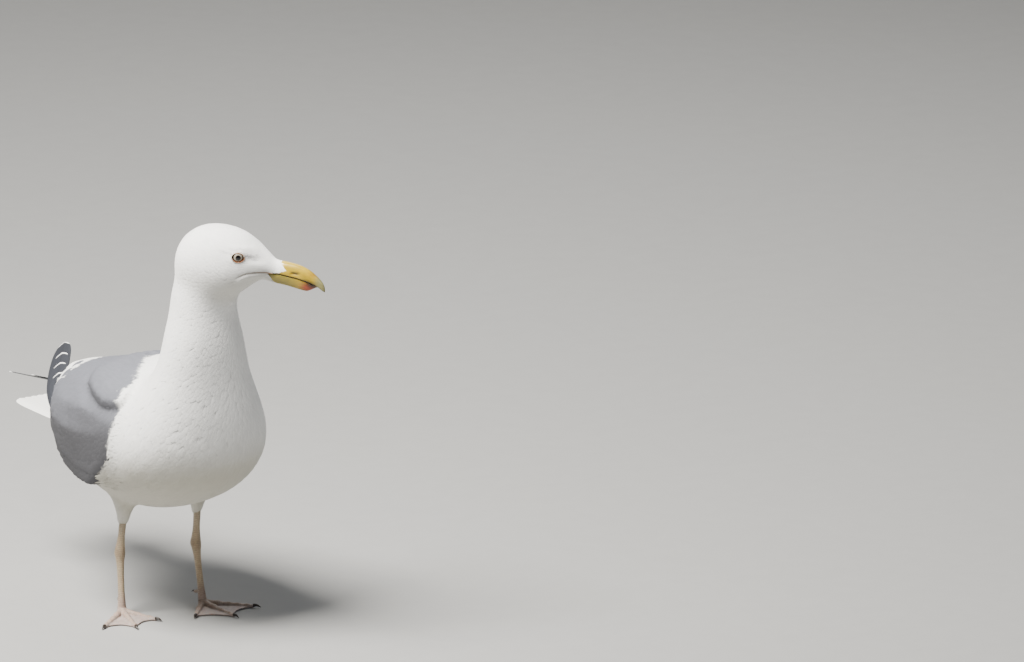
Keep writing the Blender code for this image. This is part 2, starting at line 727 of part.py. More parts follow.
def build_foot(workshop, side):
    """The three webbed toes as one piece, their claws, and the small hind toe."""
    axes = foot_matrix(side)
    helpers = []
    toes = {name: (angle * TOE_SPREAD[side], length) for name, (angle, length) in TOES.items()}
    for name, (angle, length) in toes.items():
        toe = toe_solid(angle, length)
        bmesh.ops.transform(toe, matrix=axes, verts=toe.verts)
        helpers.append(workshop.helper(f"toe_{name}_{side}", toe))
        direction = Vector((math.cos(angle), math.sin(angle), 0))
        claw = claw_solid(direction, 0.0006)
        start = direction * (length + GAP) + Vector((0, 0, CLAW_RADIUS + 0.0007))
        bmesh.ops.transform(claw, matrix=axes @ Matrix.Translation(start), verts=claw.verts)
        workshop.part(f"claw_{name}_{side}", claw, "claw_horn")
    knuckle = knuckle_solid()
    bmesh.ops.transform(knuckle, matrix=axes, verts=knuckle.verts)
    helpers.append(workshop.helper(f"knuckle_{side}", knuckle))
    web = web_solid(toes)
    bmesh.ops.transform(web, matrix=axes, verts=web.verts)
    foot = workshop.part(f"foot_{side}", web, "leg_skin")
    cut_with(foot, *helpers, operation="UNION")
    back = Vector((-1, 0, -0.25)).normalized()
    start = Vector((-0.0062, 0, HIND_TOE_HEIGHT))
    rings = []
    for k in range(4):
        share = k / 3
        radius = HIND_TOE_RADIUS * (1 - 0.45 * share)
        middle = start + back * HIND_TOE_LENGTH * share
        rings.append(
            [
                middle
                + Vector((0, 1, 0)) * radius * math.cos(2 * math.pi * j / 8)
                + back.cross(Vector((0, 1, 0))) * radius * math.sin(2 * math.pi * j / 8)
                for j in range(8)
            ]
        )
    hind = loft(rings)
    bmesh.ops.transform(hind, matrix=axes, verts=hind.verts)
    workshop.part(f"hind_toe_{side}", hind, "leg_skin")
    claw = claw_solid(back, 0.0010)
    shrink = Matrix.Scale(0.6, 4)
    end = start + back * (HIND_TOE_LENGTH + GAP)
    bmesh.ops.transform(claw, matrix=axes @ Matrix.Translation(end) @ shrink, verts=claw.verts)
    workshop.part(f"claw_hind_{side}", claw, "claw_horn")


# ---------------------------------------------------------------- the whole bird


def set_on_origin(parts):
    """Slides every piece so that the origin is on the floor under the middle of the bird's box."""
    corners = np.array([vert.co[:] for obj in parts.objects for vert in obj.data.vertices])
    middle = (corners.min(axis=0) + corners.max(axis=0)) / 2
    move = Matrix.Translation((-middle[0], -middle[1], -corners[:, 2].min()))
    for obj in parts.objects:
        obj.data.transform(move)


def main():
    clear_scene()
    workshop = Workshop()
    form = flesh_form(workshop)
    flesh = build_flesh(workshop, form)
    build_bill(workshop, flesh["head"])
    build_eyes(workshop, flesh["head"])
    build_wings(workshop, form)
    build_tail(workshop, form)
    for side in LEG_SIDES:
        build_leg(workshop, side, form)
        build_foot(workshop, side)
    set_on_origin(workshop.parts)


main()
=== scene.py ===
"""The looks of a life-size herring gull: its skin, its coat of feathers, bill, eyes, legs and feet.

Lengths are in metres. The bird's own coordinates start just above the floor under the hips, face -Y and
have its left side at +X; the frame's origin lies at ORIGIN from them.
"""

from __future__ import annotations

import heapq
import json
import logging
import math
from dataclasses import dataclass, field
from enum import Enum

import bmesh
import bpy
import numpy as np
from mathutils import Matrix, Vector
from mathutils.bvhtree import BVHTree
from mathutils.kdtree import KDTree

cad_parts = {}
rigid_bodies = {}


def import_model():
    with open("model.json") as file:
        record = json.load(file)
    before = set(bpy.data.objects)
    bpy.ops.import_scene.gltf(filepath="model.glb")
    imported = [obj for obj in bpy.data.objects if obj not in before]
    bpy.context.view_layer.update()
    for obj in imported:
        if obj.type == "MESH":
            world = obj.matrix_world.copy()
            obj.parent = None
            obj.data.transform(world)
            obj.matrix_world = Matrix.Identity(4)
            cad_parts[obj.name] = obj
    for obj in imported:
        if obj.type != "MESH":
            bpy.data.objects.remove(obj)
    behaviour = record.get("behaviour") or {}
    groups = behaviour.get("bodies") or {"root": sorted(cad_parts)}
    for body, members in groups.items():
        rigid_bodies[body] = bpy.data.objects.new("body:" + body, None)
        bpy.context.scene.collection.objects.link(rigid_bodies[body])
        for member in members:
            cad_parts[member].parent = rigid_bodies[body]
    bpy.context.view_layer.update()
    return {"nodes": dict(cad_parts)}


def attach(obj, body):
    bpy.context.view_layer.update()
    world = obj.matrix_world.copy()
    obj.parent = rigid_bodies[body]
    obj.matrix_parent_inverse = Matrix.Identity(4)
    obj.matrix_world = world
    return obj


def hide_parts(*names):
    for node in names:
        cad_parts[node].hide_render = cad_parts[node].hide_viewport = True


log = logging.getLogger("herring_gull")

MM = 0.001
ORIGIN = np.array((-0.0019, -0.0577, 0.0055))  # the bird's own origin, in the frame
SIDES = {"right": -1, "left": 1}

HEAD_CENTRE = Vector((0.0090, -0.0930, 0.3775))
HEAD_YAW = math.radians(45)
HEAD_PITCH = math.radians(-10)


class Tract(Enum):
    """The parts of the plumage that are each one joined mesh."""

    HEAD = "head"
    NECK = "neck"
    BREAST = "breast"
    BELLY = "belly"
    MANTLE = "mantle"
    WING_RIGHT = "wing_right"
    WING_LEFT = "wing_left"
    THIGHS = "thighs"


# ---------------------------------------------------------------- small tools


def smooth(low: float, high: float, value: np.ndarray) -> np.ndarray:
    """A smooth step from 0 at low to 1 at high.

    Args:
        low: where the step starts.
        high: where it ends, which may be under low.
        value: where it is read.

    Returns:
        The share, of value's own shape.
    """
    share = np.clip((np.asarray(value, float) - low) / (high - low), 0, 1)
    return share * share * (3 - 2 * share)


def unit(rows: np.ndarray) -> np.ndarray:
    """Rows of vectors, each made one long."""
    return rows / np.maximum(np.linalg.norm(rows, axis=-1, keepdims=True), 1e-12)


def linear(colour: str) -> tuple[float, float, float]:
    """A hex colour as linear red, green and blue.

    Args:
        colour: six hex digits after a hash, in sRGB.

    Returns:
        Three numbers from 0 to 1.
    """
    parts = [int(colour[k : k + 2], 16) / 255 for k in (1, 3, 5)]
    return tuple(p / 12.92 if p <= 0.04045 else ((p + 0.055) / 1.055) ** 2.4 for p in parts)


def head_matrix() -> Matrix:
    """From the head's axes (ahead, to its left, up) to the frame.

    Returns:
        The matrix.
    """
    ahead = Vector((math.sin(HEAD_YAW), -math.cos(HEAD_YAW), 0))
    left = Vector((0, 0, 1)).cross(ahead)
    turn = Matrix.Rotation(-HEAD_PITCH, 3, left)
    axes = Matrix([turn @ ahead, turn @ left, turn @ Vector((0, 0, 1))]).transposed()
    return Matrix.Translation(HEAD_CENTRE + Vector(ORIGIN)) @ axes.to_4x4()


def in_head(points: np.ndarray) -> np.ndarray:
    """Frame points in the head's axes."""
    inverse = np.array(head_matrix().inverted())
    return points @ inverse[:3, :3].T + inverse[:3, 3]


def blend(made: np.ndarray, colour: np.ndarray, share: np.ndarray) -> None:
    """Mixes a colour into rows of colours, in place, by a share from 0 to 1 for each row."""
    made[:] = made + (colour - made) * np.clip(share, 0, 1)[:, None]


def through(rows: np.ndarray, count: int) -> np.ndarray:
    """Rows along a smooth curve through the given ones.

    Args:
        rows: the known rows, two or more.
        count: how many rows to read, evenly by row number.

    Returns:
        An array of count rows.
    """
    known = np.asarray(rows, float)
    made = []
    for place in np.linspace(0, len(known) - 1, count):
        i = min(int(place), len(known) - 2)
        t = place - i
        before, a, b, after = (known[max(0, min(k, len(known) - 1))] for k in (i - 1, i, i + 1, i + 2))
        slope_a, slope_b = (b - before) / 2, (after - a) / 2
        made.append(
            (2 * t**3 - 3 * t**2 + 1) * a
            + (t**3 - 2 * t**2 + t) * slope_a
            + (3 * t**2 - 2 * t**3) * b
            + (t**3 - t**2) * slope_b
        )
    return np.array(made)


def object_from(name: str, bm: bmesh.types.BMesh) -> bpy.types.Object:
    """An object at the origin with the bmesh's mesh, which it frees.

    Args:
        name: the object's and the mesh's name.
        bm: what it is made of.

    Returns:
        The object, in the scene.
    """
    mesh = bpy.data.meshes.new(name)
    bm.to_mesh(mesh)
    bm.free()
    mesh.shade_smooth()
    obj = bpy.data.objects.new(name, mesh)
    bpy.context.scene.collection.objects.link(obj)
    return obj


def evaluated(obj: bpy.types.Object) -> bpy.types.Mesh:
    """A new mesh with the object's modifiers applied."""
    bpy.context.view_layer.update()
    graph = bpy.context.evaluated_depsgraph_get()
    return bpy.data.meshes.new_from_object(obj.evaluated_get(graph), depsgraph=graph)


def melted(name: str, bm: bmesh.types.BMesh, voxel: float, passes: int) -> bpy.types.Object:
    """Overlapping closed shapes as one smooth skin.

    Args:
        name: the name of the object.
        bm: the shapes, which it frees.
        voxel: the grain of the new mesh.
        passes: how often it is smoothed.

    Returns:
        The object, with its modifiers applied and only its largest shell kept.
    """
    obj = object_from(name, bm)
    melt = obj.modifiers.new("melt", "REMESH")
    melt.mode = "VOXEL"
    melt.voxel_size = voxel
    ease = obj.modifiers.new("ease", "SMOOTH")
    ease.factor = 0.5
    ease.iterations = passes
    obj.data = evaluated(obj)
    obj.modifiers.clear()
    keep_largest(obj.data)
    obj.data.shade_smooth()
    return obj


def keep_largest(mesh: bpy.types.Mesh) -> None:
    """Removes every shell of a mesh but the one with the most points.

    Args:
        mesh: the mesh, which is changed.
    """
    bm = bmesh.new()
    bm.from_mesh(mesh)
    seen, shells = set(), []
    for start in bm.verts:
        if start in seen:
            continue
        shell, queue = [], [start]
        seen.add(start)
        while queue:
            vert = queue.pop()
            shell.append(vert)
            for edge in vert.link_edges:
                other = edge.other_vert(vert)
                if other not in seen:
                    seen.add(other)
                    queue.append(other)
        shells.append(shell)
    shells.sort(key=len)
    for shell in shells[:-1]:
        bmesh.ops.delete(bm, geom=shell, context="VERTS")
    bm.to_mesh(mesh)
    bm.free()


def coordinates(mesh: bpy.types.Mesh) -> np.ndarray:
    """The places of a mesh's points, as rows."""
    flat = np.empty(len(mesh.vertices) * 3, np.float32)
    mesh.vertices.foreach_get("co", flat)
    return flat.reshape(-1, 3).astype(float)


def set_attribute(mesh: bpy.types.Mesh, name: str, values: np.ndarray) -> None:
    """Writes a number, vector or colour on every point of a mesh.

    Args:
        mesh: where it goes.
        name: what the material calls it.
        values: one row for each point, of 1, 3 or 4 numbers.
    """
    values = np.asarray(values, np.float32)
    kinds = {1: ("FLOAT", "value"), 3: ("FLOAT_VECTOR", "vector"), 4: ("FLOAT_COLOR", "color")}
    kind, key = kinds[1 if values.ndim == 1 else values.shape[1]]
    attribute = mesh.attributes.new(name, kind, "POINT")
    attribute.data.foreach_set(key, values.ravel())


def with_alpha(colours: np.ndarray) -> np.ndarray:
    """Rows of red, green and blue with an opaque alpha."""
    return np.concatenate([colours, np.ones((len(colours), 1))], axis=1)


def swept(bm: bmesh.types.BMesh, rings: list[np.ndarray]) -> None:
    """Adds a closed form through rings, by drawing a circle out from each to the next.

    Args:
        bm: where it goes.
        rings: the points of each ring, all of one count.
    """
    count = len(rings[0])
    current = bmesh.ops.create_circle(bm, segments=count, radius=1, cap_ends=True)["verts"]
    current = sorted(current, key=lambda v: -math.atan2(v.co.x, v.co.y))
    for vert, point in zip(current, rings[0]):
        vert.co = Vector(point)
    for ring in rings[1:]:
        loop = [bm.edges.get((current[k], current[(k + 1) % count])) for k in range(count)]
        made = bmesh.ops.extrude_edge_only(bm, edges=loop)["geom"]
        fresh = {v for v in made if isinstance(v, bmesh.types.BMVert)}
        following = []
        for vert, point in zip(current, ring):
            new = next(e.other_vert(vert) for e in vert.link_edges if e.other_vert(vert) in fresh)
            new.co = Vector(point)
            following.append(new)
        current = following
    bmesh.ops.contextual_create(bm, geom=current)


def ovals(rows: np.ndarray, points: int) -> list[np.ndarray]:
    """Level rings along rows of centre x, y, z, half width and half depth.

    Args:
        rows: the rows, one for each ring.
        points: how many points a ring has.

    Returns:
        The rings.
    """
    turns = np.linspace(0, 2 * math.pi, points, endpoint=False)
    return [
        np.stack([x + wide * np.cos(turns), y + deep * np.sin(turns), np.full(points, z)], axis=1)
        for x, y, z, wide, deep in rows
    ]


def around(path: np.ndarray, radii: np.ndarray, points: int, flatten: float = 1.0) -> list[np.ndarray]:
    """Rings square to a path.

    Args:
        path: the middle of each ring.
        radii: the radius of each ring.
        points: how many points a ring has.
        flatten: a ring's height as a share of its width.

    Returns:
        The rings, one for each row of the path.
    """
    ways = unit(np.gradient(path, axis=0))
    turns = np.linspace(0, 2 * math.pi, points, endpoint=False)
    rings = []
    for middle, way, radius in zip(path, ways, radii):
        across = unit(np.cross(way, (0, 0, 1)))
        over = np.cross(across, way)
        rings.append(
            middle
            + radius * (np.outer(np.cos(turns), across) + flatten * np.outer(np.sin(turns), over))
        )
    return rings


# ---------------------------------------------------------------- finishes


RAMP = "ShaderNodeValToRGB"
SHADED = {"data_type": "RGBA", "blend_type": "MULTIPLY"}  # a mix that multiplies two colours
SUMMED = {"operation": "MULTIPLY_ADD"}  # the first times the second, plus the third


class Paint:
    """A material's node tree while it is made."""

    def __init__(self, name: str) -> None:
        """Starts a material with its one shader.

        Args:
            name: what the real surface is.
        """
        self.material = bpy.data.materials.new(name)
        self.material.use_nodes = True
        self.tree = self.material.node_tree
        self.shader = self.tree.nodes["Principled BSDF"]

    def node(self, kind: str, settings: dict | None = None, **links: object) -> bpy.types.Node:
        """Adds a node with its settings and links.

        Args:
            kind: the node's type.
            settings: the node's own fields; a ramp's stops are each a place and a hex colour or a grey.
            **links: for a socket's name, with _ for a space, or its number after an n,
                a value or the output that feeds it.

        Returns:
            The node.
        """
        made = self.tree.nodes.new(kind)
        own = dict(settings or {})
        for number, (place, colour) in enumerate(own.pop("stops", ())):
            elements = made.color_ramp.elements
            element = elements[number] if number < len(elements) else elements.new(1.0)
            element.position = place
            element.color = (*(linear(colour) if isinstance(colour, str) else (colour,) * 3), 1)
        for key, value in own.items():
            setattr(made, key, value)
        for key, value in links.items():
            place = int(key[1:]) if key[0] == "n" and key[1:].isdigit() else key.replace("_", " ")
            self.feed(made.inputs[place], value)
        return made

    def feed(self, socket: bpy.types.NodeSocket, value: object) -> None:
        """Gives a socket a value, or the output that feeds it.

        Args:
            socket: the input.
            value: a number, a colour or an output.
        """
        if isinstance(value, bpy.types.NodeSocket):
            self.tree.links.new(value, socket)
        else:
            socket.default_value = value

    def surface(self, **values: object) -> None:
        """Sets the shader's own sockets, each named with _ for a space."""
        for key, value in values.items():
            self.feed(self.shader.inputs[key.replace("_", " ")], value)


@dataclass(frozen=True)
class FeatherFinish:
    """Feathers of keratin: matt barbs that lie in one sheet, with a finer, glossier shaft."""

    name: str
    roughness: float
    sheen: float
    barb_depth: float  # strength of the bump along the barbs
    shaft: float  # how much darker the shaft is
    fringe: float  # how much lighter the edges are
    mottle: float = 0.03
    tip_colour: str = "#F1F1EF"
    soft: float = 0.0  # how much light goes through

    def make(self) -> bpy.types.Material:
        """The material, which reads each feather's own colour, tip and place along its vane.

        Returns:
            The material.
        """
        paint = Paint(self.name)
        vane = paint.node("ShaderNodeAttribute", {"attribute_name": "Vane"}).outputs["Vector"]
        split = paint.node("ShaderNodeSeparateXYZ", Vector=vane).outputs
        base = paint.node("ShaderNodeAttribute", {"attribute_name": "Plumage"}).outputs["Color"]
        across = paint.node("ShaderNodeMath", {"operation": "ABSOLUTE"}, n0=split["Y"]).outputs[0]
        # Barbs leave the shaft at a slant, so their lines run on along and across together.
        slant = paint.node("ShaderNodeMath", SUMMED, n0=across, n1=-0.45, n2=split["X"]).outputs[0]
        place = paint.node("ShaderNodeCombineXYZ", X=slant, Y=across, Z=split["Z"]).outputs[0]
        mapped = paint.node("ShaderNodeMapping", Vector=place, Scale=(26.0, 1.2, 40.0)).outputs[0]
        barbs = paint.node(
            "ShaderNodeTexNoise", Vector=mapped, Scale=1.0, Detail=2.0, Roughness=0.6
        ).outputs["Fac"]
        fringe = paint.node(RAMP, {"stops": [(0.55, 1.0), (1.0, 1.0 + self.fringe)]}, Fac=across).outputs[0]
        shaft = paint.node(RAMP, {"stops": [(0.0, 1.0 - self.shaft), (0.10, 1.0)]}, Fac=across).outputs[0]
        grain = paint.node(RAMP, {"stops": [(0.25, 1.0 - self.mottle), (0.75, 1.0)]}, Fac=barbs).outputs[0]
        colour = base
        for factor in (fringe, shaft, grain):
            colour = paint.node("ShaderNodeMix", SHADED, n0=1.0, n6=colour, n7=factor).outputs[2]
        # The white of a tip starts at its own place on each feather, further along at the edges.
        tip_start = paint.node("ShaderNodeAttribute", {"attribute_name": "Tip"}).outputs["Fac"]
        squared = paint.node("ShaderNodeMath", {"operation": "MULTIPLY"}, n0=across, n1=across).outputs[0]
        along = paint.node("ShaderNodeMath", SUMMED, n0=squared, n1=0.035, n2=split["X"]).outputs[0]
        past = paint.node("ShaderNodeMath", {"operation": "SUBTRACT"}, n0=along, n1=tip_start).outputs[0]
        white = paint.node(
            "ShaderNodeMapRange",
            {"interpolation_type": "SMOOTHSTEP"},
            Value=past,
            From_Min=-0.006,
            From_Max=0.012,
        ).outputs["Result"]
        colour = paint.node(
            "ShaderNodeMix",
            {"data_type": "RGBA", "blend_type": "MIX"},
            n0=white,
            n6=colour,
            n7=(*linear(self.tip_colour), 1),
        ).outputs[2]
        bump = paint.node(
            "ShaderNodeBump", Strength=self.barb_depth, Distance=0.2 * MM, Height=barbs
        ).outputs[0]
        paint.surface(
            Base_Color=colour,
            Roughness=self.roughness,
            Sheen_Weight=self.sheen,
            Sheen_Roughness=0.6,
            Normal=bump,
            Specular_IOR_Level=0.25,
            Subsurface_Weight=self.soft,
            Subsurface_Radius=(1.0, 0.9, 0.8),
            Subsurface_Scale=2.0 * MM,
        )
        return paint.material


@dataclass(frozen=True)
class SkinFinish:
    """The down over the skin, which is what shows between the feathers."""

    name: str = "down_over_skin"

    def make(self) -> bpy.types.Material:
        """The material, which carries the coat's markings and their painted shade, and a fine fluff in its
        bump.

        Returns:
            The material.
        """
        paint = Paint(self.name)
        base = paint.node("ShaderNodeAttribute", {"attribute_name": "Plumage"}).outputs["Color"]
        place = paint.node("ShaderNodeTexCoord").outputs["Object"]
        fluff = paint.node(
            "ShaderNodeTexNoise", Vector=place, Scale=900.0, Detail=3.0, Roughness=0.65
        ).outputs["Fac"]
        shade = paint.node(RAMP, {"stops": [(0.2, 0.86), (0.8, 1.0)]}, Fac=fluff).outputs[0]
        colour = paint.node("ShaderNodeMix", SHADED, n0=1.0, n6=base, n7=shade).outputs[2]
        bump = paint.node("ShaderNodeBump", Strength=0.5, Distance=0.4 * MM, Height=fluff).outputs[0]
        paint.surface(Base_Color=colour, Roughness=0.9, Normal=bump, Sheen_Weight=0.3)
        return paint.material


@dataclass(frozen=True)
class HornFinish:
    """Keratin horn of the bill, grown in fine layers along it: half glossy, a little see-through."""

    name: str = "bill_keratin"
    roughness: float = 0.34

    def make(self) -> bpy.types.Material:
        """The material, which reads the bill's own tints and streaks them along its length.

        Returns:
            The material.
        """
        paint = Paint(self.name)
        base = paint.node("ShaderNodeAttribute", {"attribute_name": "Tint"}).outputs["Color"]
        place = paint.node("ShaderNodeAttribute", {"attribute_name": "Along"}).outputs["Vector"]
        mapped = paint.node("ShaderNodeMapping", Vector=place, Scale=(60.0, 420.0, 420.0)).outputs[0]
        streaks = paint.node(
            "ShaderNodeTexNoise", Vector=mapped, Scale=1.0, Detail=3.0, Roughness=0.6
        ).outputs["Fac"]
        blotches = paint.node("ShaderNodeTexNoise", Vector=place, Scale=220.0, Detail=2.0).outputs["Fac"]
        streak_shade = paint.node(RAMP, {"stops": [(0.3, 0.80), (0.7, 1.06)]}, Fac=streaks).outputs[0]
        blotch_shade = paint.node(RAMP, {"stops": [(0.3, 0.88), (0.7, 1.05)]}, Fac=blotches).outputs[0]
        colour = base
        for factor in (streak_shade, blotch_shade):
            colour = paint.node("ShaderNodeMix", SHADED, n0=1.0, n6=colour, n7=factor).outputs[2]
        bump = paint.node("ShaderNodeBump", Strength=0.25, Distance=0.15 * MM, Height=streaks).outputs[0]
        paint.surface(
            Base_Color=colour,
            Roughness=self.roughness,
            IOR=1.55,
            Normal=bump,
            Coat_Weight=0.12,
            Coat_Roughness=0.2,
            Subsurface_Weight=0.08,
            Subsurface_Radius=(1.0, 0.5, 0.2),
            Subsurface_Scale=1.0 * MM,
        )
        return paint.material


@dataclass(frozen=True)
class EyeFinish:
    """A wet eyeball: a black pupil in a pale iris with fine spokes, under a clear, glossy film."""

    name: str = "wet_eye"
    pupil: float = 0.36  # as shares of the ball's radius, square to the line of sight
    iris: float = 0.65

    def make(self) -> bpy.types.Material:
        """The material, which reads the distance from the line of sight and the turn about it.

        Returns:
            The material.
        """
        paint = Paint(self.name)
        vector = paint.node("ShaderNodeAttribute", {"attribute_name": "Gaze"}).outputs["Vector"]
        split = paint.node("ShaderNodeSeparateXYZ", Vector=vector).outputs
        mapped = paint.node("ShaderNodeMapping", Vector=vector, Scale=(3.0, 9.0, 9.0)).outputs[0]
        spokes = paint.node("ShaderNodeTexNoise", Vector=mapped, Scale=1.6, Detail=3.0).outputs["Fac"]
        stops = [
            (self.pupil - 0.015, "#060505"),
            (self.pupil + 0.015, "#7A705A"),
            (self.pupil + 0.06, "#A19B8F"),
            (self.iris - 0.12, "#958E82"),
            (self.iris - 0.04, "#6F6654"),
            (self.iris + 0.02, "#231B15"),
        ]
        rings = paint.node(RAMP, {"stops": stops}, Fac=split["X"]).outputs[0]
        shade = paint.node(RAMP, {"stops": [(0.3, 0.80), (0.7, 1.08)]}, Fac=spokes).outputs[0]
        colour = paint.node("ShaderNodeMix", SHADED, n0=1.0, n6=rings, n7=shade).outputs[2]
        paint.surface(
            Base_Color=colour,
            Roughness=0.25,
            IOR=1.38,
            Coat_Weight=1.0,
            Coat_Roughness=0.02,
            Coat_IOR=1.38,
        )
        return paint.material


@dataclass(frozen=True)
class BareSkinFinish:
    """Bare skin, such as on lids, legs and webs: leathery and fine-grained."""

    name: str
    roughness: float
    grain: float  # size of the grain, in mm
    depth: float
    soft: float
    tint: str = "Tint"
    plates: float = 0.0  # length of the plates along toes and shank, in mm, or 0 for none

    def make(self) -> bpy.types.Material:
        """The material, which reads the piece's own tints and adds a grain of small cells.

        Returns:
            The material.
        """
        paint = Paint(self.name)
        base = paint.node("ShaderNodeAttribute", {"attribute_name": self.tint}).outputs["Color"]
        place = paint.node("ShaderNodeTexCoord").outputs["Object"]
        cells = paint.node(
            "ShaderNodeTexVoronoi", {"feature": "DISTANCE_TO_EDGE"}, Vector=place, Scale=1000 / self.grain
        ).outputs["Distance"]
        blotches = paint.node("ShaderNodeTexNoise", Vector=place, Scale=260.0, Detail=3.0).outputs["Fac"]
        seams = paint.node(RAMP, {"stops": [(0.0, 0.78), (0.16, 1.0)]}, Fac=cells).outputs[0]
        blotch_shade = paint.node(RAMP, {"stops": [(0.3, 0.84), (0.7, 1.06)]}, Fac=blotches).outputs[0]
        colour = base
        for factor in (seams, blotch_shade):
            colour = paint.node("ShaderNodeMix", SHADED, n0=1.0, n6=colour, n7=factor).outputs[2]
        height = paint.node(RAMP, {"stops": [(0.0, 0.0), (0.25, 1.0)]}, Fac=cells).outputs[0]
        if self.plates:
            plates = paint.node("ShaderNodeAttribute", {"attribute_name": "Plates"}).outputs["Vector"]
            parts = paint.node("ShaderNodeSeparateXYZ", Vector=plates).outputs
            count = paint.node(
                "ShaderNodeMath", SUMMED, n0=parts["X"], n1=1000 / self.plates, n2=blotches
            ).outputs[0]
            turn = paint.node("ShaderNodeMath", {"operation": "FRACT"}, n0=count).outputs[0]
            groove = paint.node(
                RAMP, {"stops": [(0.0, 1.0), (0.16, 0.0), (0.86, 0.0), (1.0, 1.0)]}, Fac=turn
            ).outputs[0]
            deep = paint.node(
                "ShaderNodeMath", {"operation": "MULTIPLY"}, n0=groove, n1=parts["Y"]
            ).outputs[0]
            seam = paint.node("ShaderNodeMath", SUMMED, n0=deep, n1=-0.42, n2=1.0).outputs[0]
            colour = paint.node("ShaderNodeMix", SHADED, n0=1.0, n6=colour, n7=seam).outputs[2]
            height = paint.node("ShaderNodeMath", SUMMED, n0=deep, n1=-1.6, n2=height).outputs[0]
        bump = paint.node(
            "ShaderNodeBump", Strength=self.depth, Distance=0.2 * MM, Height=height
        ).outputs[0]
        paint.surface(
            Base_Color=colour,
            Roughness=self.roughness,
            IOR=1.42,
            Normal=bump,
            Subsurface_Weight=self.soft,
            Subsurface_Radius=(1.0, 0.45, 0.3),
            Subsurface_Scale=1.5 * MM,
        )
        return paint.material


@dataclass(frozen=True)
class ClawFinish:
    """Dark horn, polished by wear at the tip."""

    name: str = "claw_keratin"

    def make(self) -> bpy.types.Material:
        """The material: near black, browner where the fine streaks run.

        Returns:
            The material.
        """
        paint = Paint(self.name)
        place = paint.node("ShaderNodeTexCoord").outputs["Object"]
        streaks = paint.node("ShaderNodeTexNoise", Vector=place, Scale=900.0, Detail=2.0).outputs["Fac"]
        colour = paint.node(RAMP, {"stops": [(0.3, "#171310"), (0.7, "#3A2F27")]}, Fac=streaks).outputs[0]
        paint.surface(Base_Color=colour, Roughness=0.32, IOR=1.55)
        return paint.material


@dataclass(frozen=True)
class FloorFinish:
    """A matt painted floor, with a grain that is only just there."""

    name: str = "matt_floor"
    colour: str = "#9A9A99"

    def make(self) -> bpy.types.Material:
        """The material of the floor.

        Returns:
            The material.
        """
        paint = Paint(self.name)
        place = paint.node("ShaderNodeTexCoord").outputs["Object"]
        grain = paint.node("ShaderNodeTexNoise", Vector=place, Scale=40.0, Detail=4.0).outputs["Fac"]
        shade = paint.node(RAMP, {"stops": [(0.3, 0.97), (0.7, 1.0)]}, Fac=grain).outputs[0]
        own = (*linear(self.colour), 1)
        colour = paint.node("ShaderNodeMix", SHADED, n0=1.0, n6=own, n7=shade).outputs[2]
        paint.surface(Base_Color=colour, Roughness=0.8)
        return paint.material


# ---------------------------------------------------------------- markings


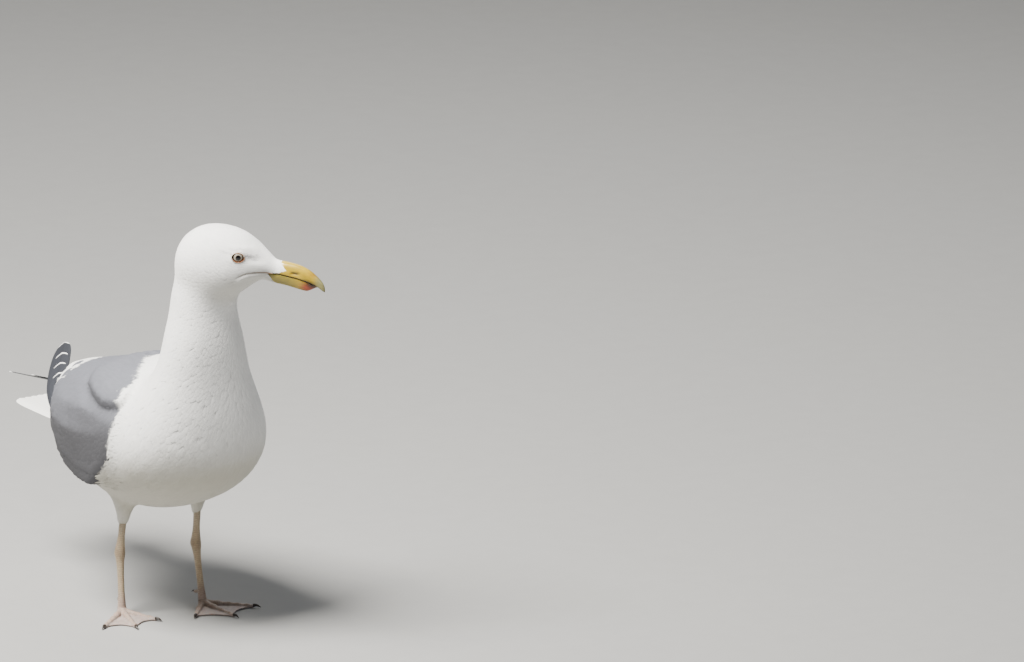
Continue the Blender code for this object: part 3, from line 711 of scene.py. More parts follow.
@dataclass
class MarkingsAndShade:
    """Where the bird is white, grey or dusky, for its skin and its coat alike, and where shade is painted
    into these colours.
    """

    white: str = "#F0F0EE"
    grey: str = "#6B6D75"
    dusk_and_shade: str = "#716F73"
    # The front edge of the grey, as height and distance aft.
    grey_heights: tuple = (0.120, 0.139, 0.176, 0.200, 0.226, 0.252, 0.262, 0.300)
    grey_edges: tuple = (0.012, 0.004, -0.034, -0.038, -0.042, -0.032, -0.034, -0.034)
    # The same on top of the back, as distance aside and distance aft.
    collar: tuple = ((0.0, 0.016, 0.032, 0.047, 0.060), (0.0240, 0.0130, -0.0090, -0.0285, -0.0400))
    rump: float = 0.128  # aft of it the back is white
    # Where the white tips of the tertials start, as height and distance aft.
    tip_heights: tuple = (0.160, 0.170, 0.190, 0.2036, 0.2086, 0.215, 0.222, 0.228, 0.234)
    tip_edges: tuple = (0.136, 0.130, 0.148, 0.146, 0.144, 0.143, 0.140, 0.136, 0.128)
    # Dusky patches about the eye, partly marks and partly painted shade under the brow and in the lore, as
    # distance ahead of the head's centre, height, reach and strength.
    face: tuple = (
        (0.0350, 0.0222, 0.0068, 0.0019, 0.85),
        (0.0135, 0.0232, 0.0062, 0.0011, 0.34),
        (0.0040, 0.0180, 0.0080, 0.0030, 0.07),
        (0.0270, 0.0145, 0.0050, 0.0022, 0.20),
        (0.0235, 0.0275, 0.0060, 0.0009, 0.34),
    )

    def greyness(self, points: np.ndarray, normals: np.ndarray, on_wing: np.ndarray) -> np.ndarray:
        """How grey the plumage is.

        Args:
            points: places in the bird's own coordinates.
            normals: which way the surface faces there.
            on_wing: 1 where the surface is a folded wing's, 0 where it is the trunk's.

        Returns:
            0 where it is white and 1 where it is grey.
        """
        edge = np.interp(points[:, 2], self.grey_heights, self.grey_edges)
        collar = np.interp(np.abs(points[:, 0]), *self.collar)
        edge = edge + (collar - edge) * smooth(0.247, 0.256, points[:, 2])
        behind = smooth(-0.0015, 0.0015, points[:, 1] - edge)
        back = smooth(0.15, 0.35, normals[:, 2]) * smooth(0.175, 0.185, points[:, 2])
        back *= 1 - smooth(self.rump - 0.003, self.rump + 0.003, points[:, 1])
        tip_edge = np.interp(points[:, 2], self.tip_heights, self.tip_edges)
        tips = smooth(0.001, -0.001, points[:, 1] - tip_edge)
        return behind * np.maximum(on_wing * np.maximum(tips, smooth(0.168, 0.164, points[:, 2])), back)

    def colours(self, points: np.ndarray, grey: np.ndarray, normals: np.ndarray) -> np.ndarray:
        """The colour of the plumage, with painted shade underneath, on the sides of the wings and about the
        eye.

        Args:
            points: places in the bird's own coordinates.
            grey: how grey it is there.
            normals: which way the surface faces there.

        Returns:
            Linear red, green and blue for each place.
        """
        white, grey_colour, dusk_and_shade = (np.array(linear(c)) for c in (self.white, self.grey, self.dusk_and_shade))
        # White is darker by up to about half underneath, on the thighs and under the chin: some soiling,
        # and mostly painted shade.
        under = smooth(0.30, -0.60, normals[:, 2]) * smooth(0.245, 0.165, points[:, 2])
        thigh = 0.5 * smooth(0.150, 0.125, points[:, 2])
        chin = 0.6 * smooth(0.10, -0.65, normals[:, 2]) * smooth(0.330, 0.350, points[:, 2])
        soiling_and_shade = np.maximum.reduce([under, thigh, chin])
        white = white * (1 - soiling_and_shade[:, None] * (0.50, 0.52, 0.59))
        # Painted shade: the grey is darker by up to about half where the wing faces sideways or down, and
        # lower on the body.
        side = smooth(0.88, -0.05, normals[:, 2]) * smooth(0.290, 0.205, points[:, 2])
        grey_colour = grey_colour * (1 - side[:, None] * (0.54, 0.555, 0.575))
        made = white + (grey_colour - white) * grey[:, None]
        # Dusky patches about the eye: partly marks, partly painted shade under the brow and in the lore.
        local = in_head(points + ORIGIN)
        for ahead, up, long, high, strength in self.face:
            away = ((local[:, 0] - ahead) / long) ** 2 + ((local[:, 2] - up) / high) ** 2
            near = strength * np.exp(-away) * (local[:, 0] > -0.03) * (np.abs(local[:, 1]) < 0.04)
            near *= smooth(0.33, 0.35, points[:, 2])
            made += (dusk_and_shade - made) * near[:, None]
        return made


# ---------------------------------------------------------------- the bird's form


@dataclass
class Form:
    """The outer form of the flesh and its coat, melted from the solids, with what is read from it."""

    nodes: dict
    voxel: float = 0.0019
    passes: int = 8
    flesh: tuple = ("head", "neck", "trunk", "thigh_left", "thigh_right", "wing_left", "wing_right")
    filled: tuple = ("eye_left", "eye_right", "eyelid_left", "eyelid_right", "bill_upper", "bill_lower")
    overlap: float = 0.0004
    # The folded wings' front edge, as heights and distances aft.
    wing_front: tuple = (
        (0.120, 0.139, 0.176, 0.226, 0.246, 0.30),
        (0.0, -0.01, -0.036, -0.044, -0.04, -0.03),
    )
    # The lower edge of the scapular lobe, as distances aft and heights.
    lobe_edge: tuple = (
        (-0.060, -0.045, -0.0335, -0.015, 0.015, 0.043, 0.080),
        (0.2400, 0.2350, 0.2285, 0.2260, 0.2305, 0.2345, 0.2440),
    )
    # The mantle, as distance aft, half width, height of its edges and of its middle.
    mantle: tuple = (
        (-0.0560, 0.0400, 0.2380, 0.2560),
        (-0.0440, 0.0500, 0.2430, 0.2620),
        (-0.0300, 0.0470, 0.2500, 0.2625),
        (-0.0180, 0.0370, 0.2550, 0.2620),
        (0.0050, 0.0160, 0.2590, 0.2615),
        (0.0400, 0.0060, 0.2560, 0.2570),
        (0.0650, 0.0040, 0.2480, 0.2480),
    )
    # The rump and the lower back between the wings' rear ends, in the same way.
    rump: tuple = (
        (0.0950, 0.0420, 0.2050, 0.2260),
        (0.1200, 0.0475, 0.2030, 0.2190),
        (0.1350, 0.0465, 0.2010, 0.2175),
        (0.1480, 0.0400, 0.1990, 0.2150),
        (0.1580, 0.0320, 0.1970, 0.2095),
        (0.1680, 0.0220, 0.1910, 0.2010),
        (0.1780, 0.0120, 0.1800, 0.1860),
        (0.1840, 0.0060, 0.1690, 0.1760),
    )
    # The line of the mouth behind the bill, as distance ahead of the head's centre and height.
    gape: tuple = (
        (0.0240, 0.0275, 0.0310, 0.0360, 0.0430, 0.0500, 0.0580),
        (-0.0012, 0.0014, 0.0040, 0.0062, 0.0076, 0.0082, 0.0084),
    )
    # How much wider each filler is below its edges, how low it reaches, and its width there as a share.
    mantle_below: tuple = (0.012, 0.190, 1.0)
    rump_below: tuple = (0.004, 0.163, 0.66)
    mesh: bpy.types.Mesh | None = field(default=None, repr=False)

    def build(self) -> None:
        """Makes the mesh and reads its points, faces, normals and tree."""
        bm = bmesh.new()
        self.add_filler(bm, self.mantle, *self.mantle_below)
        self.add_filler(bm, self.rump, *self.rump_below)
        for name in (*self.flesh, *self.filled):
            bm.from_mesh(self.swollen(name))
        obj = melted("outer_form", bm, self.voxel, self.passes)
        self.mesh = obj.data
        self.points = coordinates(self.mesh)
        self.read_edges()
        self.on_wing = self.nearness_to_wings()
        self.shape_neck()
        self.shape_wings()
        self.find_normals()
        self.own = self.points - ORIGIN
        self.faces = [tuple(p.vertices) for p in self.mesh.polygons]
        self.corner = np.array([f[0] for f in self.faces])
        self.tree = BVHTree.FromPolygons(self.points.tolist(), self.faces)
        self.face_normals = unit(np.array([self.normals[list(f)].mean(axis=0) for f in self.faces]))
        bpy.data.objects.remove(obj, do_unlink=True)
        log.info("outer form: %d points", len(self.points))

    def add_filler(self, bm: bmesh.types.BMesh, rows: tuple, spread: float, bottom: float,
                   foot: float) -> None:
        """Adds feathered bulk that bridges the back from wing to wing.

        Args:
            bm: where it goes.
            rows: distance aft, half width, height of its edges and of its middle, for each ring.
            spread: how much wider it is below its edges.
            bottom: how low it reaches.
            foot: its width there, as a share of its greatest.
        """
        rings = []
        for aft, wide, edge, top in through(rows, 24):
            reach = wide + spread
            half = [(0.0, top), (wide * 0.5, top * 0.75 + edge * 0.25), (wide, edge),
                    (reach, max(edge - 0.007, bottom + 0.001)), (reach * foot, bottom)]
            ring = half + [(-x, z) for x, z in reversed(half[1:])]
            rings.append(np.array([(x, aft, z) for x, z in ring]) + ORIGIN)
        swept(bm, rings)
        bmesh.ops.recalc_face_normals(bm, faces=bm.faces)

    def swollen(self, name: str) -> bpy.types.Mesh:
        """A merged copy of a solid, a little larger all round.

        Args:
            name: the solid's name.

        Returns:
            The mesh.
        """
        bm = bmesh.new()
        bm.from_mesh(self.nodes[name].data)
        bmesh.ops.remove_doubles(bm, verts=bm.verts, dist=1e-6)
        bm.normal_update()
        moves = [(vert, vert.normal * self.overlap) for vert in bm.verts]
        for vert, move in moves:
            vert.co += move
        mesh = bpy.data.meshes.new(name + "_swollen")
        bm.to_mesh(mesh)
        bm.free()
        return mesh

    def read_edges(self) -> None:
        """Reads which points share an edge, both ways round."""
        flat = np.empty(len(self.mesh.edges) * 2, np.int32)
        self.mesh.edges.foreach_get("vertices", flat)
        pairs = flat.reshape(-1, 2)
        self.edges = np.concatenate([pairs, pairs[:, ::-1]])
        self.degree = np.bincount(self.edges[:, 0], minlength=len(self.points)).astype(float)

    def averaged(self, values: np.ndarray) -> np.ndarray:
        """Each point's neighbours' mean."""
        summed = np.zeros_like(values)
        np.add.at(summed, self.edges[:, 0], values[self.edges[:, 1]])
        return summed / (self.degree if values.ndim == 1 else self.degree[:, None])

    def nearness_to_wings(self) -> np.ndarray:
        """1 on the folded wings and 0 off them, with a soft edge.

        Returns:
            A share for each of the form's points.
        """
        bm = bmesh.new()
        for name in ("wing_left", "wing_right"):
            bm.from_mesh(self.nodes[name].data)
        tree = BVHTree.FromBMesh(bm)
        bm.free()
        far = np.array([tree.find_nearest(p)[3] for p in self.points.tolist()])
        return 1 - smooth(1.2 * MM, 2.6 * MM, far)

    def shape_neck(self) -> None:
        """Melts the seam of head and neck, and those of the thighs and the belly."""
        own = self.points - ORIGIN
        local = in_head(self.points)
        seam = np.exp(-(((own[:, 2] - 0.352) / 0.030) ** 2)) * smooth(0.034, 0.014, local[:, 0])
        thigh = np.exp(-(((own[:, 2] - 0.121) / 0.012) ** 2)) * (own[:, 2] < 0.14)
        back = smooth(0.225, 0.240, own[:, 2]) * smooth(0.283, 0.262, own[:, 2])
        back *= smooth(0.08, 0.05, own[:, 1])
        back *= smooth(0.070, 0.055, np.abs(own[:, 0]))
        flank = np.exp(-(((own[:, 2] - 0.146) / 0.016) ** 2)) * smooth(0.055, 0.065, np.abs(own[:, 0]))
        flank *= smooth(-0.055, -0.040, own[:, 1]) * smooth(0.085, 0.050, own[:, 1])
        # Hollows are filled and nothing is worn down, so that the outline stays.
        fill = np.clip(seam * 1.3 + back + flank, 0, 1)
        for _ in range(160):
            self.find_normals()
            move = self.averaged(self.points) - self.points
            out = np.clip((move * self.normals).sum(axis=1), 0, None)
            self.points += self.normals * (out * fill * 0.9)[:, None]
        soft = np.clip(seam * 1.1 + thigh * 0.4 + back * 0.25, 0, 1)[:, None]
        for _ in range(100):
            self.points += (self.averaged(self.points) - self.points) * soft * 0.7
        self.find_normals()
        lower = np.exp(-(((own[:, 2] - 0.300) / 0.027) ** 2))
        self.points += self.normals * (np.clip(seam * 1.1 + lower * 1.7, 0, 1.9) * MM)[:, None]

    def find_normals(self) -> None:
        """Finds the smooth normals of the points as they now are."""
        self.mesh.vertices.foreach_set("co", self.points.astype(np.float32).ravel())
        self.mesh.update()
        flat = np.empty(len(self.points) * 3, np.float32)
        self.mesh.vertex_normals.foreach_get("vector", flat)
        self.normals = flat.reshape(-1, 3).astype(float)

    def face_rise(self, points: np.ndarray) -> np.ndarray:
        """How far the face stands out: its brow, the hollow before the eye, the fold behind the mouth.

        Args:
            points: places in the frame.

        Returns:
            A height for each of them.
        """
        local = in_head(points)
        ahead, aside, up = local.T
        off = up - np.interp(ahead, *self.gape)
        reach = smooth(0.0235, 0.0290, ahead) * smooth(0.056, 0.050, ahead)
        reach = reach * smooth(0.003, 0.007, np.abs(aside))
        below = np.exp(-(((off + 0.0042) / 0.0028) ** 2)) * 0.9
        groove = -np.exp(-((off / 0.0012) ** 2)) * 0.9
        rise = (below + groove) * reach
        brow = ((ahead - 0.0260) / 0.0130) ** 2 + ((up - 0.0295) / 0.0030) ** 2
        lore = ((ahead - 0.0390) / 0.0080) ** 2 + ((up - 0.0205) / 0.0036) ** 2
        rise += (np.exp(-brow) * 0.9 - np.exp(-lore) * 1.1) * smooth(0.004, 0.009, np.abs(aside))
        return rise * MM * smooth(0.33, 0.345, points[:, 2] - ORIGIN[2])

    def raised(self, places: np.ndarray, normals: np.ndarray) -> tuple[np.ndarray, np.ndarray]:
        """Places on the form with the face's own relief.

        Args:
            places: places on the form.
            normals: its normals there.

        Returns:
            The places and the normals with the relief.
        """
        step = 0.5 * MM
        one = unit(np.cross(normals, (0.3, 0.2, 0.9)))
        two = np.cross(normals, one)
        rise = self.face_rise(places)
        slope_one = (self.face_rise(places + one * step) - rise) / step
        slope_two = (self.face_rise(places + two * step) - rise) / step
        tilted = unit(normals - one * slope_one[:, None] - two * slope_two[:, None])
        return places + normals * rise[:, None], tilted

    def shape_wings(self) -> None:
        """Softens the step at the front of each wing and lifts the scapular lobe over the coverts."""
        own = self.points - ORIGIN
        front = np.interp(own[:, 2], *self.wing_front)
        soft = np.exp(-(((own[:, 1] - front) / 0.016) ** 2)) * smooth(0.03, 0.045, np.abs(own[:, 0]))
        soft *= smooth(0.275, 0.262, own[:, 2])
        soft = np.clip(soft * 1.15, 0, 1)[:, None]
        for _ in range(50):
            self.points += (self.averaged(self.points) - self.points) * soft * 0.6
        own = self.points - ORIGIN
        off = own[:, 2] - np.interp(own[:, 1], *self.lobe_edge)
        reach = smooth(-0.056, -0.040, own[:, 1]) * smooth(0.085, 0.030, own[:, 1])
        outward = unit(own * (1, 0, 0.5) - (0, 0, 0.09))
        over = smooth(-0.0020, 0.0075, off) * smooth(0.034, 0.014, off) * 4.8
        under = -smooth(0.001, -0.002, off) * smooth(-0.016, -0.002, off) * 1.6
        self.points += outward * ((over + under) * MM * reach * self.on_wing)[:, None]

    def nearest(self, points: np.ndarray) -> tuple[np.ndarray, np.ndarray, np.ndarray]:
        """The nearest places on the form.

        Args:
            points: places in the frame.

        Returns:
            The places on it, the smooth normals there and the faces' numbers.
        """
        hits = [self.tree.find_nearest(p) for p in points.tolist()]
        places = np.array([hit[0] for hit in hits])
        faces = np.array([hit[2] for hit in hits])
        return places, self.face_normals[faces], faces

    def thickness(self) -> np.ndarray:
        """How deep the flesh is under each point, at most 40 mm.

        Returns:
            A depth for each of them, in metres.
        """
        made = np.full(len(self.points), 0.04)
        for k, (point, normal) in enumerate(zip(self.points, self.normals)):
            start = Vector(point - normal * 0.5 * MM)
            hit = self.tree.ray_cast(start, Vector(-normal), 0.04)
            if hit[0] is not None:
                made[k] = hit[3]
        return made


@dataclass
class Lie:
    """The lie of the coat: away from the bill over the whole body, and aft along a folded wing."""

    form: Form
    source: float = 0.0575  # the bill's base, ahead of the head's centre
    # A folded wing's upper and lower edge, as distance aft and height.
    wing_aft: tuple = (-0.040, -0.018, 0.005, 0.040, 0.075, 0.105, 0.130, 0.152, 0.168, 0.179)
    wing_top: tuple = (0.246, 0.256, 0.259, 0.256, 0.247, 0.239, 0.232, 0.226, 0.221, 0.216)
    wing_bottom: tuple = (0.186, 0.158, 0.140, 0.137, 0.144, 0.159, 0.174, 0.188, 0.201, 0.211)

    def build(self) -> None:
        """Finds the way the feathers point at every point of the form."""
        form = self.form
        away = self.distance_from_bill()
        for _ in range(60):
            away = away + (form.averaged(away) - away) * 0.7
        step = form.points[form.edges[:, 1]] - form.points[form.edges[:, 0]]
        rise = away[form.edges[:, 1]] - away[form.edges[:, 0]]
        slope = np.zeros_like(form.points)
        weight = rise / np.maximum((step**2).sum(axis=1), 1e-12)
        np.add.at(slope, form.edges[:, 0], step * weight[:, None])
        lie = unit(self.flattened(slope))
        wing = unit(self.flattened(self.along_wing()))
        share = form.on_wing * smooth(-0.045, -0.020, form.own[:, 1])
        back = smooth(0.3, 0.6, form.normals[:, 2]) * smooth(-0.03, 0.0, form.own[:, 1])
        share = np.maximum(share, back)[:, None]
        lie = lie * (1 - share) + wing * share
        for _ in range(24):
            lie = lie * 0.4 + form.averaged(lie) * 0.6
        aft = smooth(0.135, 0.155, form.own[:, 1])[:, None]
        lie = lie * (1 - aft) + self.flattened(np.tile((0.0, 1.0, -0.15), (len(lie), 1))) * aft
        self.away = away
        self.ways = unit(self.flattened(lie))

    def flattened(self, vectors: np.ndarray) -> np.ndarray:
        """Vectors at the form's points, laid along its surface."""
        normals = self.form.normals
        return vectors - normals * (vectors * normals).sum(axis=1, keepdims=True)

    def distance_from_bill(self) -> np.ndarray:
        """The shortest way over the form from the bill to each point.

        Returns:
            A distance for each of the form's points.
        """
        form = self.form
        count = len(form.points)
        order = np.argsort(form.edges[:, 0], kind="stable")
        ends = form.edges[order, 1].tolist()
        lengths = np.linalg.norm(
            form.points[form.edges[order, 1]] - form.points[form.edges[order, 0]], axis=1
        ).tolist()
        starts = np.insert(np.cumsum(form.degree.astype(int)), 0, 0).tolist()
        away = [math.inf] * count
        heap = []
        local = in_head(form.points)
        bill = (local[:, 0] > self.source) & (np.abs(local[:, 1]) < 0.02) & (local[:, 2] > -0.010)
        for k in np.nonzero(bill)[0].tolist():
            away[k] = 0.0
            heap.append((0.0, k))
        heapq.heapify(heap)
        while heap:
            distance, k = heapq.heappop(heap)
            if distance > away[k]:
                continue
            for j in range(starts[k], starts[k + 1]):
                other = distance + lengths[j]
                if other < away[ends[j]]:
                    away[ends[j]] = other
                    heapq.heappush(heap, (other, ends[j]))
        return np.array(away)

    def along_wing(self) -> np.ndarray:
        """The way a folded wing's feathers point, between those of its upper and its lower edge.

        Returns:
            A direction for each of the form's points.
        """
        own = self.form.own
        top = np.interp(own[:, 1], self.wing_aft, self.wing_top)
        bottom = np.interp(own[:, 1], self.wing_aft, self.wing_bottom)
        top_slope = np.interp(own[:, 1], self.wing_aft, np.gradient(self.wing_top, self.wing_aft))
        low_slope = np.interp(own[:, 1], self.wing_aft, np.gradient(self.wing_bottom, self.wing_aft))
        share = np.clip((top - own[:, 2]) / np.maximum(top - bottom, 0.005), 0, 1)
        slope = np.clip(top_slope * (1 - share) + low_slope * 0.7 * share, -0.6, 0.7)
        return np.stack([np.zeros(len(own)), np.ones(len(own)), slope], axis=1)


# ---------------------------------------------------------------- the skin


@dataclass
class Skin:
    """One skin under the whole coat, as deep below its tips as the coat is thick there."""

    form: Form
    markings_and_shade: MarkingsAndShade
    head_depth: float = 0.0020
    body_depth: float = 0.0036
    thigh_depth: float = 0.0016
    replaced: tuple = ("head", "neck", "trunk", "thigh_left", "thigh_right", "wing_left", "wing_right")

    def depths(self) -> np.ndarray:
        """The coat's depth at each point of the form.

        Returns:
            A depth for each of them, in metres.
        """
        form = self.form
        depth = np.full(len(form.points), self.body_depth)
        depth += (self.head_depth - depth) * smooth(0.27, 0.34, form.own[:, 2])
        depth += (self.thigh_depth - depth) * smooth(0.118, 0.106, form.own[:, 2])
        local = in_head(form.points)
        face = smooth(0.02, 0.045, local[:, 0]) * smooth(0.33, 0.35, form.own[:, 2])
        depth += (0.0010 - depth) * face
        return np.minimum(depth, form.thickness() * 0.30)

    def build(self, sunk: np.ndarray) -> bpy.types.Object:
        """Makes the skin.

        Args:
            sunk: how much deeper it lies at each point, under the bill and the eyes.

        Returns:
            The object.
        """
        form = self.form
        self.depth = self.depths()
        for _ in range(10):
            self.depth = np.minimum(self.depth, form.averaged(self.depth))
        mesh = form.mesh.copy()
        mesh.name = "skin"
        places = form.points - form.normals * (self.depth + sunk)[:, None]
        mesh.vertices.foreach_set("co", places.astype(np.float32).ravel())
        mesh.update()
        # The skin takes the markings' colours, with their painted shade.
        grey = self.markings_and_shade.greyness(form.own, form.normals, form.on_wing)
        set_attribute(mesh, "Plumage", with_alpha(self.markings_and_shade.colours(form.own, grey, form.normals)))
        obj = bpy.data.objects.new("skin", mesh)
        bpy.context.scene.collection.objects.link(obj)
        self.unwrap(obj)
        mesh.materials.append(SkinFinish().make())
        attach(obj, "root")
        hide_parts(*self.replaced)
        self.read_map(mesh)
        log.info("skin: %d faces", len(mesh.polygons))
        return obj

    def unwrap(self, obj: bpy.types.Object) -> None:
        """Gives the skin its map, an unwrap of its own shape.

        Args:
            obj: the skin.
        """
        bpy.context.view_layer.objects.active = obj
        for other in bpy.context.view_layer.objects:
            other.select_set(other is obj)
        obj.data.uv_layers.new(name="OFBake")
        bpy.ops.object.mode_set(mode="EDIT")
        bpy.ops.mesh.select_all(action="SELECT")
        bpy.ops.uv.smart_project(angle_limit=math.radians(66), island_margin=0.004)
        bpy.ops.object.mode_set(mode="OBJECT")

    def read_map(self, mesh: bpy.types.Mesh) -> None:
        """Reads the middle of each face on the map.

        Args:
            mesh: the skin's mesh.
        """
        flat = np.empty(len(mesh.loops) * 2, np.float32)
        mesh.uv_layers["OFBake"].data.foreach_get("uv", flat)
        uv = flat.reshape(-1, 2)
        starts = np.empty(len(mesh.polygons), np.int32)
        totals = np.empty(len(mesh.polygons), np.int32)
        mesh.polygons.foreach_get("loop_start", starts)
        mesh.polygons.foreach_get("loop_total", totals)
        summed = np.add.reduceat(uv, starts, axis=0)
        self.face_uv = summed / totals[:, None]


# ---------------------------------------------------------------- feathers


@dataclass
class VaneShape:
    """The outline of a feather and the mesh that is laid down for each one."""

    stations: tuple  # shares of its length
    widths: tuple  # shares of its half width at each station
    columns: int  # points across

    def build(self) -> None:
        """Draws a closed, lens-shaped vane from a grid: its upper face, and its lower one merged to it."""
        rows, columns = len(self.stations), self.columns
        bm = bmesh.new()
        bmesh.ops.create_grid(bm, x_segments=rows - 1, y_segments=columns - 1, size=1)
        for vert in bm.verts:
            vert.co.x = round((vert.co.x + 1) / 2 * (rows - 1))
            vert.co.y = round((vert.co.y + 1) / 2 * (columns - 1))
        inner = [v for v in bm.verts if not v.is_boundary]
        marks = {(v.co.x, v.co.y) for v in inner}
        made = bmesh.ops.duplicate(bm, geom=bm.verts[:] + bm.edges[:] + bm.faces[:])["geom"]
        below = [v for v in made if isinstance(v, bmesh.types.BMVert)]
        bmesh.ops.reverse_faces(bm, faces=[f for f in made if isinstance(f, bmesh.types.BMFace)])
        for vert in below:
            if (vert.co.x, vert.co.y) in marks:
                vert.co.z = -1
        bmesh.ops.remove_doubles(bm, verts=bm.verts, dist=1e-4)
        if sum(f.normal.z for f in bm.faces if all(v.co.z > -0.5 for v in f.verts)) < 0:
            bmesh.ops.reverse_faces(bm, faces=bm.faces)
        bm.verts.index_update()
        grid = np.array([v.co[:] for v in bm.verts])
        self.row = grid[:, 0].astype(int)
        self.column = grid[:, 1].astype(int)
        self.under = -grid[:, 2]
        self.quads = np.array([[v.index for v in f.verts] for f in bm.faces])
        self.facing = np.where(self.under[self.quads].max(axis=1) > 0.5, -1.0, 1.0)
        bm.free()
        self.along = np.array(self.stations)
        self.across = np.linspace(-1, 1, columns)


SMALL = VaneShape((0.0, 0.3, 0.58, 0.80, 0.93, 1.0), (0.40, 0.85, 1.0, 0.82, 0.50, 0.12), 3)
LARGE = VaneShape(
    (0.0, 0.12, 0.28, 0.46, 0.64, 0.80, 0.90, 0.96, 0.99, 1.0),
    (0.45, 0.75, 0.95, 1.0, 1.0, 0.92, 0.76, 0.55, 0.33, 0.12),
    5,
)


@dataclass
class Batch:
    """Feathers of one outline, one row in each array for each of them."""

    roots: np.ndarray  # places on the form
    ways: np.ndarray  # which way they point
    lengths: np.ndarray
    widths: np.ndarray  # half widths
    depths: np.ndarray  # how far below the form their roots lie
    # The markings' own colours, and those given for the wing rows, include painted shade.
    colours: np.ndarray | None  # None for the markings' own colours
    faces: np.ndarray  # the form's face at each root
    tips: np.ndarray  # where the white of the tip starts, over 1 for none
    raise_by: np.ndarray  # how far their tips stand proud of the form
    free: bool = False  # whether they reach past the form's edge at full length


